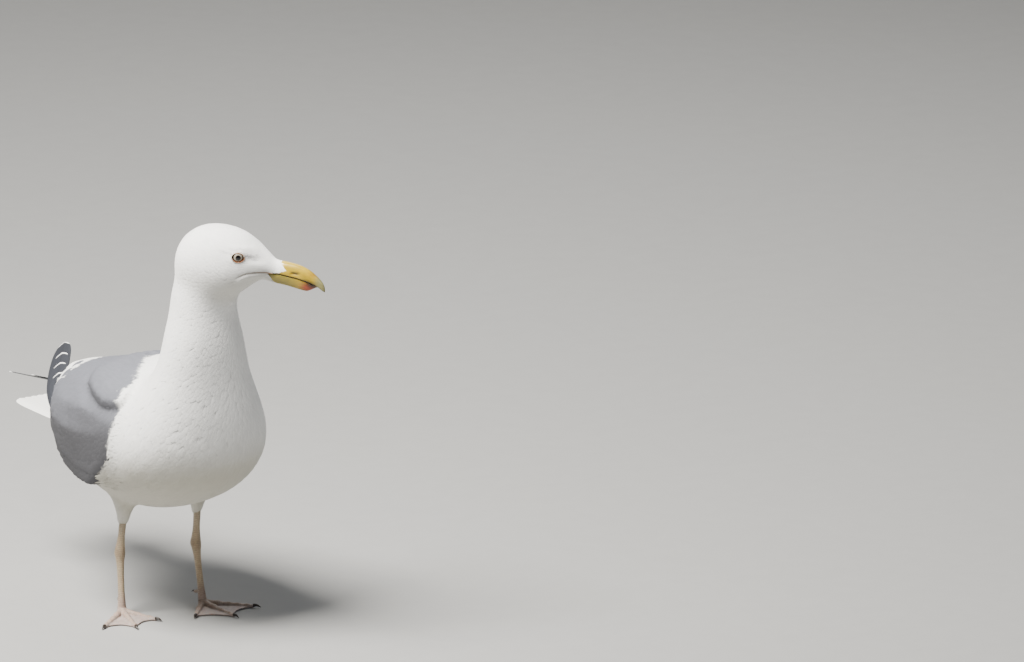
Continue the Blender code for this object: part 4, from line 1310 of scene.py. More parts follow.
@dataclass
class Coat:
    """Lays feathers down over the form as joined meshes."""

    form: Form
    lie: Lie
    skin: Skin
    markings_and_shade: MarkingsAndShade
    finishes: dict
    thickness: float = 0.00016
    camber: float = 0.10  # how much lower a vane's edges lie than its shaft, as a share of its half width
    bend: float = 1.7  # how soon a feather comes up to the surface from its root
    roundness: float = 0.10  # how much the light sees a vane as arched
    patch: float = 0.0028
    overshoot: float = 0.35  # how far a feather goes on past the form's edge, as a share of its length
    tuck: float = 0.00024  # how far its very tip dips

    def lay(self, shape: VaneShape, batch: Batch, seed: int) -> dict:
        """Wraps the feathers of a batch on the form.

        Args:
            shape: their outline.
            batch: their places and sizes.
            seed: for the small differences between them.

        Returns:
            Arrays for the mesh.
        """
        rng = np.random.default_rng(seed)
        count, stations = len(batch.roots), len(shape.along)
        here, normals, found_faces = self.form.nearest(batch.roots)
        first = normals.copy()
        ways = unit(batch.ways - normals * (batch.ways * normals).sum(axis=1, keepdims=True))
        points = np.empty((count, stations, shape.columns, 3))
        shades = np.empty((count, stations, shape.columns, 3))
        tints = np.empty((count, stations, shape.columns, 3))
        spread = rng.normal(0, 0.0016, (count, 1)).clip(-0.003, 0.003)
        previous = 0.0
        left_it = np.zeros(count, bool)
        for s, along in enumerate(shape.along):
            step = (along - previous) * batch.lengths
            previous = along
            if s:
                step = step * np.where(left_it, 1.0 if batch.free else self.overshoot, 1.0)
                ahead = here + ways * step[:, None]
                snapped, found, found_faces = self.form.nearest(ahead)
                gone = (found * first).sum(axis=1) < 0.25
                gone |= np.linalg.norm(snapped - ahead, axis=1) > 0.45 * step + 1.5 * MM
                left_it |= gone
                snapped[left_it], found[left_it] = ahead[left_it], normals[left_it]
                here, normals = snapped, found
                ways = unit(ways - normals * (ways * normals).sum(axis=1, keepdims=True))
            sideways = np.cross(normals, ways)
            low = batch.depths * (1 - along) ** self.bend
            low = low - batch.raise_by * along ** (1.2 if batch.free else 3.0)
            low = low + self.tuck * (batch.raise_by < 0.3 * MM) * float(smooth(0.70, 1.0, along))
            for c, across in enumerate(shape.across):
                if across == 0:
                    place, normal = here, normals
                else:
                    reach = across * shape.widths[s] * batch.widths
                    guess = here + sideways * reach[:, None]
                    place, normal, _ = self.form.nearest(guess)
                    off = (normal * normals).sum(axis=1) < 0.3
                    slack = (0.2, 0.3 * MM) if batch.free else (0.6, 0.8 * MM)
                    off |= np.linalg.norm(place - guess, axis=1) > slack[0] * np.abs(reach) + slack[1]
                    off |= left_it & batch.free
                    place[off], normal[off] = guess[off], normals[off]
                drop = low + self.camber * batch.widths * across**2
                if batch.colours is None:
                    wing = self.form.on_wing[self.form.corner[found_faces]]
                    shift = (0, 1, 0) * spread - ways * (0.002 + 0.004 * (1 - along))
                    own = place - ORIGIN + shift
                    grey = self.markings_and_shade.greyness(own, normal, wing)
                    # Each point takes the markings' colour, with its painted shade.
                    tints[:, s, c] = self.markings_and_shade.colours(own, grey, normal)
                place, normal = self.form.raised(place, normal)
                points[:, s, c] = place - normal * drop[:, None]
                shades[:, s, c] = unit(normal + sideways * across * self.roundness + ways * along * 0.04)
        if batch.colours is None:
            shade = (1 + 0.018 * rng.normal(0, 1, (count, 1, 1))).clip(0.95, 1.04)
            colours = tints[:, shape.row, shape.column] * shade
        else:
            colours = np.repeat(batch.colours[:, None], len(shape.row), axis=1)
        thin = self.thickness * (0.9 + 0.2 * rng.random(count))
        places = points[:, shape.row, shape.column]
        normal = shades[:, shape.row, shape.column]
        places = places - normal * (shape.under * thin[:, None])[:, :, None]
        vane = np.empty((count, len(shape.row), 3))
        vane[:, :, 0] = shape.along[shape.row]
        vane[:, :, 1] = shape.across[shape.column]
        vane[:, :, 2] = rng.random(count)[:, None]
        return {
            "places": places,
            "normals": normal,
            "vane": vane,
            "colours": colours,
            "tips": np.repeat(batch.tips[:, None], len(shape.row), axis=1),
            "shape": shape,
            "uv": self.skin.face_uv[batch.faces],
        }

    def joined(self, name: str, laid: list[dict], finish: str, slot: str, replaced: tuple = ()) -> None:
        """Makes one mesh of laid feathers.

        Args:
            name: the piece's name.
            laid: what lay() gave, for each batch.
            finish: which of the finishes it has.
            slot: the record's material slot; not used.
            replaced: the solids that it stands for.
        """
        points, normals, vanes, colours, tips, quads, uvs, facing = [], [], [], [], [], [], [], []
        offset = 0
        for one in laid:
            count, size = one["places"].shape[:2]
            points.append(one["places"].reshape(-1, 3))
            normals.append(one["normals"].reshape(-1, 3))
            vanes.append(one["vane"].reshape(-1, 3))
            colours.append(one["colours"].reshape(-1, 3))
            tips.append(one["tips"].reshape(-1))
            faces = one["shape"].quads[None] + (offset + np.arange(count) * size)[:, None, None]
            quads.append(faces.reshape(-1, 4))
            facing.append(np.tile(one["shape"].facing, count))
            within = np.stack([one["vane"][:, :, 0] - 0.5, one["vane"][:, :, 1] / 2], axis=-1)
            uvs.append((one["uv"][:, None] + within * self.patch).reshape(-1, 2))
            offset += count * size
        mesh = mesh_from(name, np.concatenate(points), np.concatenate(quads))
        set_attribute(mesh, "Plumage", with_alpha(np.concatenate(colours)))
        set_attribute(mesh, "Vane", np.concatenate(vanes))
        set_attribute(mesh, "Tip", np.concatenate(tips))
        layer = mesh.uv_layers.new(name="OFBake")
        corners = np.concatenate(quads).ravel()
        layer.data.foreach_set("uv", np.concatenate(uvs)[corners].astype(np.float32).ravel())
        mesh.shade_smooth()
        corner_normals = np.concatenate(normals)[corners] * np.repeat(np.concatenate(facing), 4)[:, None]
        mesh.normals_split_custom_set(corner_normals.tolist())
        mesh.materials.append(self.finishes[finish])
        obj = bpy.data.objects.new(name, mesh)
        bpy.context.scene.collection.objects.link(obj)
        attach(obj, "root")
        if replaced:
            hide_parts(*replaced)
        log.info("%s: %d triangles", name, 2 * len(corners) // 4)


def mesh_from(name: str, points: np.ndarray, quads: np.ndarray) -> bpy.types.Mesh:
    """A mesh of many repeated four-sided faces.

    Args:
        name: its name.
        points: a row for each point.
        quads: a row of four point numbers for each face.

    Returns:
        The mesh.
    """
    mesh = bpy.data.meshes.new(name)
    mesh.vertices.add(len(points))
    mesh.vertices.foreach_set("co", points.astype(np.float32).ravel())
    mesh.loops.add(quads.size)
    mesh.loops.foreach_set("vertex_index", quads.astype(np.int32).ravel())
    mesh.polygons.add(len(quads))
    mesh.polygons.foreach_set("loop_start", np.arange(0, quads.size, 4, dtype=np.int32))
    mesh.update(calc_edges=True)
    mesh.validate()
    return mesh


@dataclass
class Contours:
    """The small feathers that cover the body, closest on the face and longest on the flanks."""

    coat: Coat
    eyes: list
    seed: int = 11
    crowd: int = 12  # places tried for each one taken
    # The rear edge of a folded wing, as distance aft and height.
    wing_edge: tuple = (
        (0.060, 0.075, 0.105, 0.130, 0.152, 0.168, 0.179, 0.181),
        (0.137, 0.144, 0.159, 0.174, 0.188, 0.201, 0.211, 0.230),
    )
    # Where the feathers end at the bill, as height above the head's centre and distance ahead of it.
    bill_heights: tuple = (-0.0060, -0.0026, 0.0007, 0.0075, 0.0085, 0.0100, 0.0135, 0.0170, 0.0215)
    bill_edges: tuple = (0.0635, 0.0620, 0.0585, 0.0530, 0.0530, 0.0620, 0.0702, 0.0677, 0.0640)

    def feathered(self, points: np.ndarray) -> np.ndarray:
        """How far behind the edge of the bill each place is, less than 0 on the bill.

        Args:
            points: places in the frame.

        Returns:
            A distance for each, in metres, and 1 away from the bill.
        """
        local = in_head(points)
        behind = np.interp(local[:, 2], self.bill_heights, self.bill_edges) - local[:, 0]
        near = (np.abs(local[:, 1]) < 0.025) & (local[:, 2] > -0.012)
        return np.where(near, behind, 1.0)

    def sizes(self, points: np.ndarray, grey: np.ndarray) -> tuple[np.ndarray, np.ndarray, np.ndarray]:
        """Length, half width and spacing of the feathers.

        Args:
            points: places in the frame.
            grey: how grey the plumage is there.

        Returns:
            Three arrays, in metres.
        """
        own = points - ORIGIN
        local = in_head(points)
        up = own[:, 2]
        length = np.interp(up, (0.085, 0.100, 0.118, 0.135, 0.20, 0.27, 0.31, 0.345, 0.40),
                           (0.007, 0.010, 0.020, 0.025, 0.024, 0.018, 0.013, 0.010, 0.0085))
        space = np.interp(up, (0.085, 0.100, 0.118, 0.135, 0.20, 0.27, 0.31, 0.345, 0.40),
                          (0.0018, 0.0024, 0.0030, 0.0034, 0.0033, 0.0029, 0.0025, 0.0023, 0.0021))
        on_head = smooth(0.335, 0.350, up)
        face = np.interp(local[:, 0], (0.0, 0.03, 0.045, 0.060), (1.0, 0.70, 0.48, 0.36))
        length *= 1 - on_head * (1 - face)
        space *= 1 - on_head * (1 - face)
        aft = own[:, 1]
        along = (-0.045, -0.010, 0.050, 0.110, 0.17)
        wing_length = np.interp(aft, along, (0.013, 0.020, 0.028, 0.034, 0.036))
        wing_space = np.interp(aft, along, (0.0030, 0.0038, 0.0050, 0.0060, 0.007))
        length = length * (1 - grey) + wing_length * grey
        space = space * (1 - grey) + wing_space * grey
        rump = smooth(0.09, 0.14, aft) * (1 - grey)
        length *= 1 + 0.25 * rump
        return length, space * (1.05 + 0.30 * grey), space

    def scatter(self) -> dict:
        """Spreads roots over the form, each as far from the next as the feathers there ask.

        Returns:
            Arrays of places, faces and normals.
        """
        form = self.coat.form
        rng = np.random.default_rng(self.seed)
        quads = np.array([f if len(f) == 4 else (*f, f[-1]) for f in form.faces])
        corners = form.points[quads]
        area = 0.5 * np.linalg.norm(
            np.cross(corners[:, 2] - corners[:, 0], corners[:, 3] - corners[:, 1]), axis=1
        )
        middle = corners.mean(axis=1)
        wing = form.on_wing[quads].mean(axis=1)
        grey = self.coat.markings_and_shade.greyness(middle - ORIGIN, form.face_normals, wing)
        _, _, space = self.sizes(middle, grey)
        want = area / space**2 * self.crowd
        want[self.feathered(middle) < -0.004] = 0
        tries = rng.poisson(want)
        faces = np.repeat(np.arange(len(quads)), tries)
        a, b = rng.random((2, len(faces), 1))
        c = corners[faces]
        places = (c[:, 0] * (1 - a) + c[:, 1] * a) * (1 - b) + (c[:, 3] * (1 - a) + c[:, 2] * a) * b
        order = rng.permutation(len(places))
        places, faces = places[order], faces[order]
        tree = KDTree(len(places))
        for k, place in enumerate(places.tolist()):
            tree.insert(place, k)
        tree.balance()
        reach = (space[faces] * 0.93).tolist()
        gone = np.zeros(len(places), bool)
        kept = []
        for k, place in enumerate(places.tolist()):
            if gone[k]:
                continue
            kept.append(k)
            for _, other, _ in tree.find_range(place, reach[k]):
                gone[other] = True
        kept = np.array(kept)
        return {"places": places[kept], "faces": faces[kept], "wing": wing[faces[kept]]}

    def build(self) -> None:
        """Lays the contour feathers of each tract."""
        coat, form = self.coat, self.coat.form
        rng = np.random.default_rng(self.seed + 1)
        roots = self.scatter()
        places, faces = roots["places"], roots["faces"]
        normals = form.face_normals[faces]
        corner = form.corner[faces]
        ways = coat.lie.ways[corner]
        base_grey = coat.markings_and_shade.greyness(places - ORIGIN, normals, roots["wing"])
        length, width, _ = self.sizes(places, base_grey)
        far = places + ways * (length * 0.72)[:, None]
        far, far_normals, far_faces = form.nearest(far)
        far_wing = form.on_wing[form.corner[far_faces]]
        grey = (coat.markings_and_shade.greyness(far - ORIGIN, far_normals, far_wing) > 0.5).astype(float)
        own = places - ORIGIN
        # A feather turns a little from its neighbours' lie.
        turn = rng.normal(0, 1, len(places)) * np.radians(np.where(grey > 0.5, 4.0, 7.0))
        sideways = np.cross(normals, ways)
        ways = ways * np.cos(turn)[:, None] + sideways * np.sin(turn)[:, None]
        length = length * (1 + 0.10 * rng.normal(0, 1, len(places)).clip(-2, 2))
        keep = self.feathered(places) > 0.0
        for eye in self.eyes:
            away = eye.apart(places)
            keep &= away > eye.clear
            toward = unit(eye.rim_centre - places)
            facing = (ways * toward).sum(axis=1)
            room = np.where(facing > 0.0, away - eye.clear - 0.1 * MM, 1.0)
            length = np.minimum(length, np.maximum(room, 1.4 * MM))
            for share in (1.0, 0.75, 0.5, 1.0, 1.0):
                over = eye.apart(places + ways * (length * share)[:, None]) < eye.clear + 0.3 * MM
                length = np.where(over, length * 0.7, length)
            keep &= eye.apart(places + ways * length[:, None]) > eye.clear - 0.1 * MM
        behind = self.feathered(places)
        on_wing = roots["wing"] > 0.5
        edge_aft = np.interp(own[:, 2], self.wing_edge[1], self.wing_edge[0])
        room = np.where(on_wing, edge_aft - own[:, 1] + 0.003, 1.0)
        keep &= room > 0.001
        length = np.minimum(length, np.maximum(room, 0.009))
        keep &= ~(on_wing & (normals[:, 2] < -0.25) & (own[:, 1] > 0.03))
        keep &= (own[:, 1] < 0.14) | (normals[:, 1] < 0.85)
        # Nothing grows where a folded wing lies close over the rump.
        covered = self.covered(places + normals * MM, normals, np.full(len(places), 0.02))
        covered |= self.covered(places + normals * MM, ways, length)
        keep &= ~(covered & (own[:, 1] > 0.085) & (own[:, 2] > 0.165))
        depth = coat.skin.depth[corner] * 0.55
        depth = np.minimum(depth, 0.25 * length)
        depth *= smooth(0.0, 0.007, behind)
        tips = np.full(len(places), 2.0)
        lift = rng.random(len(places)) * 0.10 * MM + 0.25 * MM * smooth(0.008, 0.0, behind)
        tracts = self.tracts(own, roots["wing"], base_grey)
        laid_out = {}
        for k, tract in enumerate(Tract):
            mine = keep & (tracts == tract.value)
            if not mine.any():
                continue
            for shade, part in (("white", grey < 0.5), ("grey", grey >= 0.5)):
                chosen = mine & part
                if not chosen.any():
                    continue
                batch = Batch(
                    places[chosen], ways[chosen], length[chosen], width[chosen], depth[chosen],
                    None, faces[chosen], tips[chosen], lift[chosen],
                )
                laid_out.setdefault(shade, {})[tract] = coat.lay(SMALL, batch, self.seed + 10 + k)
        for shade, parts in laid_out.items():
            for tract, laid in parts.items():
                coat.joined(f"{shade}_coat_{tract.value}", [laid], shade, f"{shade}_plumage")

    def covered(self, places: np.ndarray, ways: np.ndarray, reach: np.ndarray) -> np.ndarray:
        """Whether the form is met within reach of each place, the way given.

        Args:
            places: where the rays start.
            ways: which way they go.
            reach: how far each one looks.

        Returns:
            True for each place that is covered.
        """
        cast = self.coat.form.tree.ray_cast
        rays = zip(places.tolist(), ways.tolist(), reach.tolist())
        return np.array([cast(place, way, far)[0] is not None for place, way, far in rays])

    def tracts(self, own: np.ndarray, wing: np.ndarray, grey: np.ndarray) -> np.ndarray:
        """The tract that each place is in, by its Enum value.

        Args:
            own: places in the bird's own frame.
            wing: how far each is on a folded wing.
            grey: how grey the plumage is there.

        Returns:
            An array of values of Tract.
        """
        made = np.full(len(own), Tract.BELLY.value, dtype=object)
        made[own[:, 1] < -0.02] = Tract.BREAST.value
        made[(own[:, 2] > 0.262) & (own[:, 1] < -0.02)] = Tract.NECK.value
        made[own[:, 2] > 0.345] = Tract.HEAD.value
        made[(own[:, 2] < 0.112)] = Tract.THIGHS.value
        made[(grey > 0.5)] = Tract.MANTLE.value
        on = (wing > 0.5) & (own[:, 2] < 0.345)
        made[on & (own[:, 0] < 0)] = Tract.WING_RIGHT.value
        made[on & (own[:, 0] >= 0)] = Tract.WING_LEFT.value
        return made


# ---------------------------------------------------------------- eyes and lids


@dataclass
class Eye:
    """An eyeball and the bare ring of its lids."""

    side: str
    centre: tuple
    form: Form
    radius: float = 0.0072
    looks_ahead: float = math.radians(20)
    opening: float = 0.0052  # half the length of the gap between the lids
    squeeze: float = 0.78  # its height as a share of its length
    corner: float = 0.15  # how far the gap reaches into its corners, as a share
    ring: float = 0.0066  # outer radius of the lids
    lip: float = 0.00040
    clear: float = 0.0062  # the feathers start this far from the line of sight
    points: int = 72

    def axes(self) -> Matrix:
        """From the eye's axes, the third along its line of sight, to the frame.

        Returns:
            The matrix.
        """
        turn = SIDES[self.side] * (math.pi / 2 - self.looks_ahead)
        to_frame = head_matrix().to_3x3()
        sight = (to_frame @ Vector((math.cos(turn), math.sin(turn), 0.10))).normalized()
        across = (to_frame @ Vector((0, 0, 1))).cross(sight).normalized()
        axes = Matrix([across, sight.cross(across), sight]).transposed().to_4x4()
        return Matrix.Translation(self.centre) @ axes

    def apart(self, places: np.ndarray) -> np.ndarray:
        """How far places are from the middle of the gap, in its longer half's own measure.

        Args:
            places: places in the frame.

        Returns:
            A distance for each, in metres.
        """
        inverse = np.array(self.axes().inverted())
        local = places @ inverse[:3, :3].T + inverse[:3, 3]
        ahead = np.where(local[:, 2] > 0, 0.0, 0.05)
        return np.hypot(local[:, 0], local[:, 1] / self.squeeze) + ahead

    @property
    def rim_centre(self) -> np.ndarray:
        """The middle of the gap between the lids."""
        matrix = self.axes()
        return np.array(matrix @ Vector((0, 0, math.sqrt(self.radius**2 - self.opening**2))))

    def build(self, lid_finish: bpy.types.Material, eye_finish: bpy.types.Material) -> None:
        """Makes the ball and the lids.

        Args:
            lid_finish: the lids' material.
            eye_finish: the ball's material.
        """
        matrix = self.axes()
        bm = bmesh.new()
        bmesh.ops.create_uvsphere(bm, u_segments=48, v_segments=32, radius=self.radius)
        local = np.array([v.co[:] for v in bm.verts])
        bmesh.ops.transform(bm, matrix=matrix, verts=bm.verts)
        ball = object_from(f"eye_{self.side}", bm)
        apart = np.linalg.norm(local[:, :2], axis=1) / self.radius
        apart = np.where(local[:, 2] > 0, apart, 1.0)
        turned = unit(local[:, :2] + 1e-9)
        set_attribute(ball.data, "Gaze", np.stack([apart, turned[:, 0], turned[:, 1]], axis=1))
        ball.data.materials.append(eye_finish)
        self.declare(ball, "eye")
        self.build_lids(matrix, lid_finish)

    def build_lids(self, matrix: Matrix, finish: bpy.types.Material) -> None:
        """Makes the ring of the lids, from a small profile swept about the line of sight.

        Args:
            matrix: from the eye's axes to the frame.
            finish: the lids' material.
        """
        inward = -(matrix.to_3x3() @ Vector((0, 0, 1)))
        rings, tints = [], []
        dark, orange, yellow = (np.array(linear(c)) for c in ("#1C1410", "#84502C", "#9C8468"))
        pale = np.array(linear("#C9C4BC"))
        for k in range(self.points):
            turn = 2 * math.pi * k / self.points
            way = Vector((math.cos(turn), math.sin(turn), 0))
            oval = 1 / math.hypot(math.cos(turn), math.sin(turn) / self.squeeze)
            gap = self.opening * oval * (1 + self.corner * abs(math.cos(turn)) ** 10)
            gap *= 1 - 0.05 * max(0.0, math.sin(turn)) ** 2
            outer = self.ring * (0.25 + 0.75 * oval) * (1 + 0.04 * abs(math.cos(turn)) ** 6)
            start = matrix @ (way * outer + Vector((0, 0, 0.02)))
            hit = self.form.tree.ray_cast(start, inward, 0.05)[0]
            edge = (matrix.inverted() @ hit).z if hit is not None else 0.0045
            ball = math.sqrt(self.radius**2 - gap**2)
            top = max(ball, edge) + self.lip
            width = outer - gap
            profile = [
                (gap - 0.25 * MM, ball - 0.35 * MM),
                (gap, ball + 0.10 * MM),
                (gap + 0.12 * width, ball * 0.35 + top * 0.65),
                (gap + 0.34 * width, top),
                (gap + 0.58 * width, top * 0.72 + edge * 0.28),
                (gap + 0.82 * width, top * 0.30 + edge * 0.70 + 0.05 * MM),
                (outer, edge - 0.15 * MM),
                (outer + 0.9 * MM, edge - 0.75 * MM),
                (outer - 0.1 * MM, edge - 1.9 * MM),
                (gap + 0.2 * MM, min(ball, edge) - 1.4 * MM),
            ]
            rings.append([way * radius + Vector((0, 0, height)) for radius, height in profile])
            row = [dark, dark, orange * 0.7, orange, yellow, pale, pale, pale, pale, pale]
            tints.append(row)
        bm = bmesh.new()
        verts = [[bm.verts.new(matrix @ point) for point in ring] for ring in rings]
        for k, ring in enumerate(verts):
            following = verts[(k + 1) % len(verts)]
            for j in range(len(ring)):
                nxt = (j + 1) % len(ring)
                bm.faces.new((ring[j], ring[nxt], following[nxt], following[j]))
        bmesh.ops.recalc_face_normals(bm, faces=bm.faces)
        lids = object_from(f"lids_{self.side}", bm)
        set_attribute(lids.data, "Tint", with_alpha(np.array(tints).reshape(-1, 3)))
        lids.data.materials.append(finish)
        finer = lids.modifiers.new("rounded", "SUBSURF")
        finer.levels = finer.render_levels = 1
        self.declare(lids, "eyelid")

    def declare(self, obj: bpy.types.Object, slot: str) -> None:
        """Ties a piece to the body and hides the solid it stands for, named by the slot and the side."""
        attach(obj, "root")
        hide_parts(f"{slot}_{self.side}")


# ---------------------------------------------------------------- bill


@dataclass
class Bill:
    """The bill's two halves of horn, and the fold of skin behind the mouth."""

    form: Form
    # Distance ahead of the head's centre, height of the ridge, of the lower edge, and half width.
    sections: tuple = (
        (0.0440, 0.0222, -0.0015, 0.0108),
        (0.0500, 0.0220, -0.0022, 0.0098),
        (0.0580, 0.0208, -0.0026, 0.0083),
        (0.0700, 0.0211, -0.0024, 0.0070),
        (0.0810, 0.0207, -0.0030, 0.0060),
        (0.0905, 0.0184, -0.0034, 0.0051),
        (0.0990, 0.0142, -0.0018, 0.0041),
        (0.1055, 0.0098, -0.0004, 0.0030),
        (0.1090, 0.0056, -0.0010, 0.0018),
        (0.1106, 0.0018, -0.0006, 0.0006),
    )
    mouth: tuple = (
        (0.0440, 0.0580, 0.0640, 0.0825, 0.0900, 0.0970, 0.1015, 0.1050, 0.1080, 0.1106),
        (0.0079, 0.0084, 0.0087, 0.0080, 0.0070, 0.0057, 0.0046, 0.0028, 0.0008, -0.0004),
    )
    feather_edge: tuple = ((0.0,), (0.05,))  # where the feathers end, as heights and distances ahead
    lower_end: float = 0.1040
    nostril: tuple = (0.0790, 0.0128, 0.0044, 0.0008)  # ahead, up, half length, half height
    # The fold of skin behind the mouth, as distance ahead and height, from the bill backward.
    fold: tuple = (
        (0.0575, 0.0084), (0.0520, 0.0083), (0.0430, 0.0076),
        (0.0360, 0.0062), (0.0305, 0.0037), (0.0275, 0.0014),
    )
    steps: int = 84

    def section(self, ahead: float) -> tuple[float, float, float, float]:
        """Ridge, lower edge, half width and height of the mouth at a distance ahead."""
        table = self.fine
        read = [float(np.interp(ahead, table[:, 0], table[:, k])) for k in (1, 2, 3)]
        return (*read, float(np.interp(ahead, *self.mouth)))

    def build(self, finish: bpy.types.Material, skin_finish: bpy.types.Material) -> None:
        """Makes both halves and the fold.

        Args:
            finish: its material.
            skin_finish: the fold's material.
        """
        self.fine = through(self.sections, 200)
        self.build_half("bill_upper", True, finish)
        self.build_half("bill_lower", False, finish)
        self.build_fold(skin_finish)

    def ring(self, ahead: float, upper: bool) -> np.ndarray:
        """A closed ring of the horn, in the head's axes.

        Args:
            ahead: how far ahead of the head's centre.
            upper: True for the upper half.

        Returns:
            The ring's points.
        """
        ridge, low, wide, mouth = self.section(ahead)
        arch = np.linspace(0, math.pi, 30)
        if upper:
            high = max(ridge - mouth, 0.0004)
            side = wide * np.sign(np.cos(arch)) * np.abs(np.cos(arch)) ** 0.85
            tall = mouth + 0.0001 + high * np.sin(arch) ** 0.92
            floor_side = np.linspace(-wide, wide, 12)[1:-1] * 0.96
            hollow = 0.30 * high * (1 - (floor_side / wide) ** 2)
            floor_up = mouth + 0.0001 + np.minimum(hollow, 0.0025)
        else:
            end = smooth(self.lower_end, self.lower_end - 0.012, ahead) ** 0.5
            wide = wide * 0.93 * max(float(end), 0.05)
            deep = max((mouth - low) * max(float(end), 0.10), 0.0003)
            side = wide * np.cos(arch)
            tall = mouth - 0.0002 - deep * np.sin(arch) ** 0.85
            floor_side = np.linspace(-wide, wide, 12)[1:-1] * 0.96
            hollow = 0.25 * deep * (1 - (floor_side / wide) ** 2)
            floor_up = mouth - 0.0002 - np.minimum(hollow, 0.0020)
        across = np.concatenate([side, floor_side])
        up = np.concatenate([tall, floor_up])
        return np.stack([np.full(len(across), ahead), across, up], axis=1)

    def build_half(self, name: str, upper: bool, finish: bpy.types.Material) -> None:
        """Makes one half of the horn.

        Args:
            name: its name, which is also the solid it stands for.
            upper: True for the upper half, which carries the nostrils and the hook.
            finish: its material.
        """
        last = self.sections[-1][0] if upper else self.lower_end
        share = np.linspace(0, 1, self.steps)
        rings = [self.ring(a, upper) for a in 0.0445 + (last - 0.0445) * (1 - (1 - share) ** 1.25)]
        bm = bmesh.new()
        swept(bm, rings)
        bmesh.ops.recalc_face_normals(bm, faces=bm.faces)
        local = np.array([v.co[:] for v in bm.verts])
        pit = self.pit(local) if upper else np.zeros(len(local))
        under = smooth(0.0, 0.004, np.interp(local[:, 2], *self.feather_edge) - local[:, 0])
        for vert, deep, hidden in zip(bm.verts, pit, under):
            vert.co.y -= math.copysign(1, vert.co.y) * 1.6 * MM * deep
            vert.co.y *= 1 - 0.08 * hidden
            vert.co.z += (0.0095 - vert.co.z) * 0.06 * hidden
        bmesh.ops.transform(bm, matrix=head_matrix(), verts=bm.verts)
        horn = object_from(name + "_horn", bm)
        set_attribute(horn.data, "Tint", with_alpha(self.tints(local, upper, pit)))
        set_attribute(horn.data, "Along", local)
        horn.data.materials.append(finish)
        finer = horn.modifiers.new("rounded", "SUBSURF")
        finer.levels = finer.render_levels = 1
        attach(horn, "root")
        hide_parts(name)

    def pit(self, local: np.ndarray) -> np.ndarray:
        """How much each point lies in a nostril's slit, from 0 to 1.

        Args:
            local: points in the head's axes.

        Returns:
            A share for each.
        """
        ahead, up, long, high = self.nostril
        rise = (local[:, 0] - ahead) * 0.10
        away = ((local[:, 0] - ahead) / long) ** 4 + ((local[:, 2] - up - rise) / high) ** 2
        outside = np.abs(local[:, 1]) > 0.002
        return np.exp(-away) * outside

    def tints(self, local: np.ndarray, upper: bool, pit: np.ndarray) -> np.ndarray:
        """The horn's colours: ochre, paler to the tip, a red spot low down and a dark smudge over it, with
        painted shade along the mouth and in the nostrils.

        Args:
            local: points in the head's axes.
            upper: True for the upper half.
            pit: how much each point lies in a nostril.

        Returns:
            A colour for each.
        """
        ochre, ivory, red, dark, green = (
            np.array(linear(c)) for c in ("#B59820", "#8F8C60", "#A23C08", "#1E150C", "#8F8B3C")
        )
        ahead, up = local[:, 0], local[:, 2]
        mouth = np.interp(ahead, *self.mouth)
        made = np.tile(ochre, (len(local), 1))

        blend(made, green, 0.45 * smooth(0.066, 0.046, ahead))
        blend(made, ivory, 0.9 * smooth(0.0960, 0.1040, ahead))
        # Painted shade along the mouth, where the two halves meet.
        edge = np.exp(-(((up - mouth) / 0.0011) ** 2))
        blend(made, dark, 0.55 * edge * smooth(0.050, 0.060, ahead))
        if upper:
            # Painted shade in the nostril's slit.
            blend(made, dark, pit * 1.2)
            smudge = ((ahead - 0.0945) / 0.0080) ** 2 + ((up - mouth - 0.0006) / 0.0028) ** 2
            blend(made, dark, 0.88 * np.exp(-smudge))
            warm = ((ahead - 0.0975) / 0.0055) ** 2 + ((up - 0.0150) / 0.0026) ** 2
            blend(made, dark * 0.6 + red * 0.4, 0.40 * np.exp(-warm))
        else:
            blend(made, green * 0.62, 0.65 * smooth(0.090, 0.070, ahead))
            spot = ((ahead - 0.0945) / 0.0085) ** 2 + ((up - 0.0008) / 0.0052) ** 2
            blend(made, red, 1.1 * np.exp(-(spot**1.5)))
            smudge = ((ahead - 0.0965) / 0.0070) ** 2 + ((up - mouth + 0.0012) / 0.0030) ** 2
            blend(made, dark, 0.95 * np.exp(-smudge))
        return made

    def build_fold(self, finish: bpy.types.Material) -> None:
        """Makes the fold of skin that runs from the mouth back under each eye.

        Args:
            finish: its material.
        """
        for side, sign in SIDES.items():
            path = []
            for ahead, up in through(self.fold, 26):
                start = head_matrix() @ Vector((ahead, sign * 0.04, up))
                inward = head_matrix().to_3x3() @ Vector((0, -sign, 0))
                hit, normal, *_ = self.form.tree.ray_cast(start, inward, 0.08)
                place, turned = self.form.raised(np.array([hit]), np.array([normal]))
                path.append(place[0] + turned[0] * 0.05 * MM)
            path = np.array(path)
            share = np.linspace(0, 1, len(path))
            radii = (0.60 - 0.38 * share) * MM
            radii[-1] = 0.08 * MM
            bm = bmesh.new()
            swept(bm, around(path, radii, 8, 0.8))
            bmesh.ops.recalc_face_normals(bm, faces=bm.faces)
            fold = object_from(f"mouth_fold_{side}", bm)
            near, far = np.array(linear("#7C5530")), np.array(linear("#9A8B7E"))
            where = np.clip((0.050 - in_head(coordinates(fold.data))[:, 0]) / 0.016, 0, 1)[:, None]
            set_attribute(fold.data, "Tint", with_alpha(near + (far - near) * where))
            fold.data.materials.append(finish)
            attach(fold, "root")


# ---------------------------------------------------------------- legs and feet


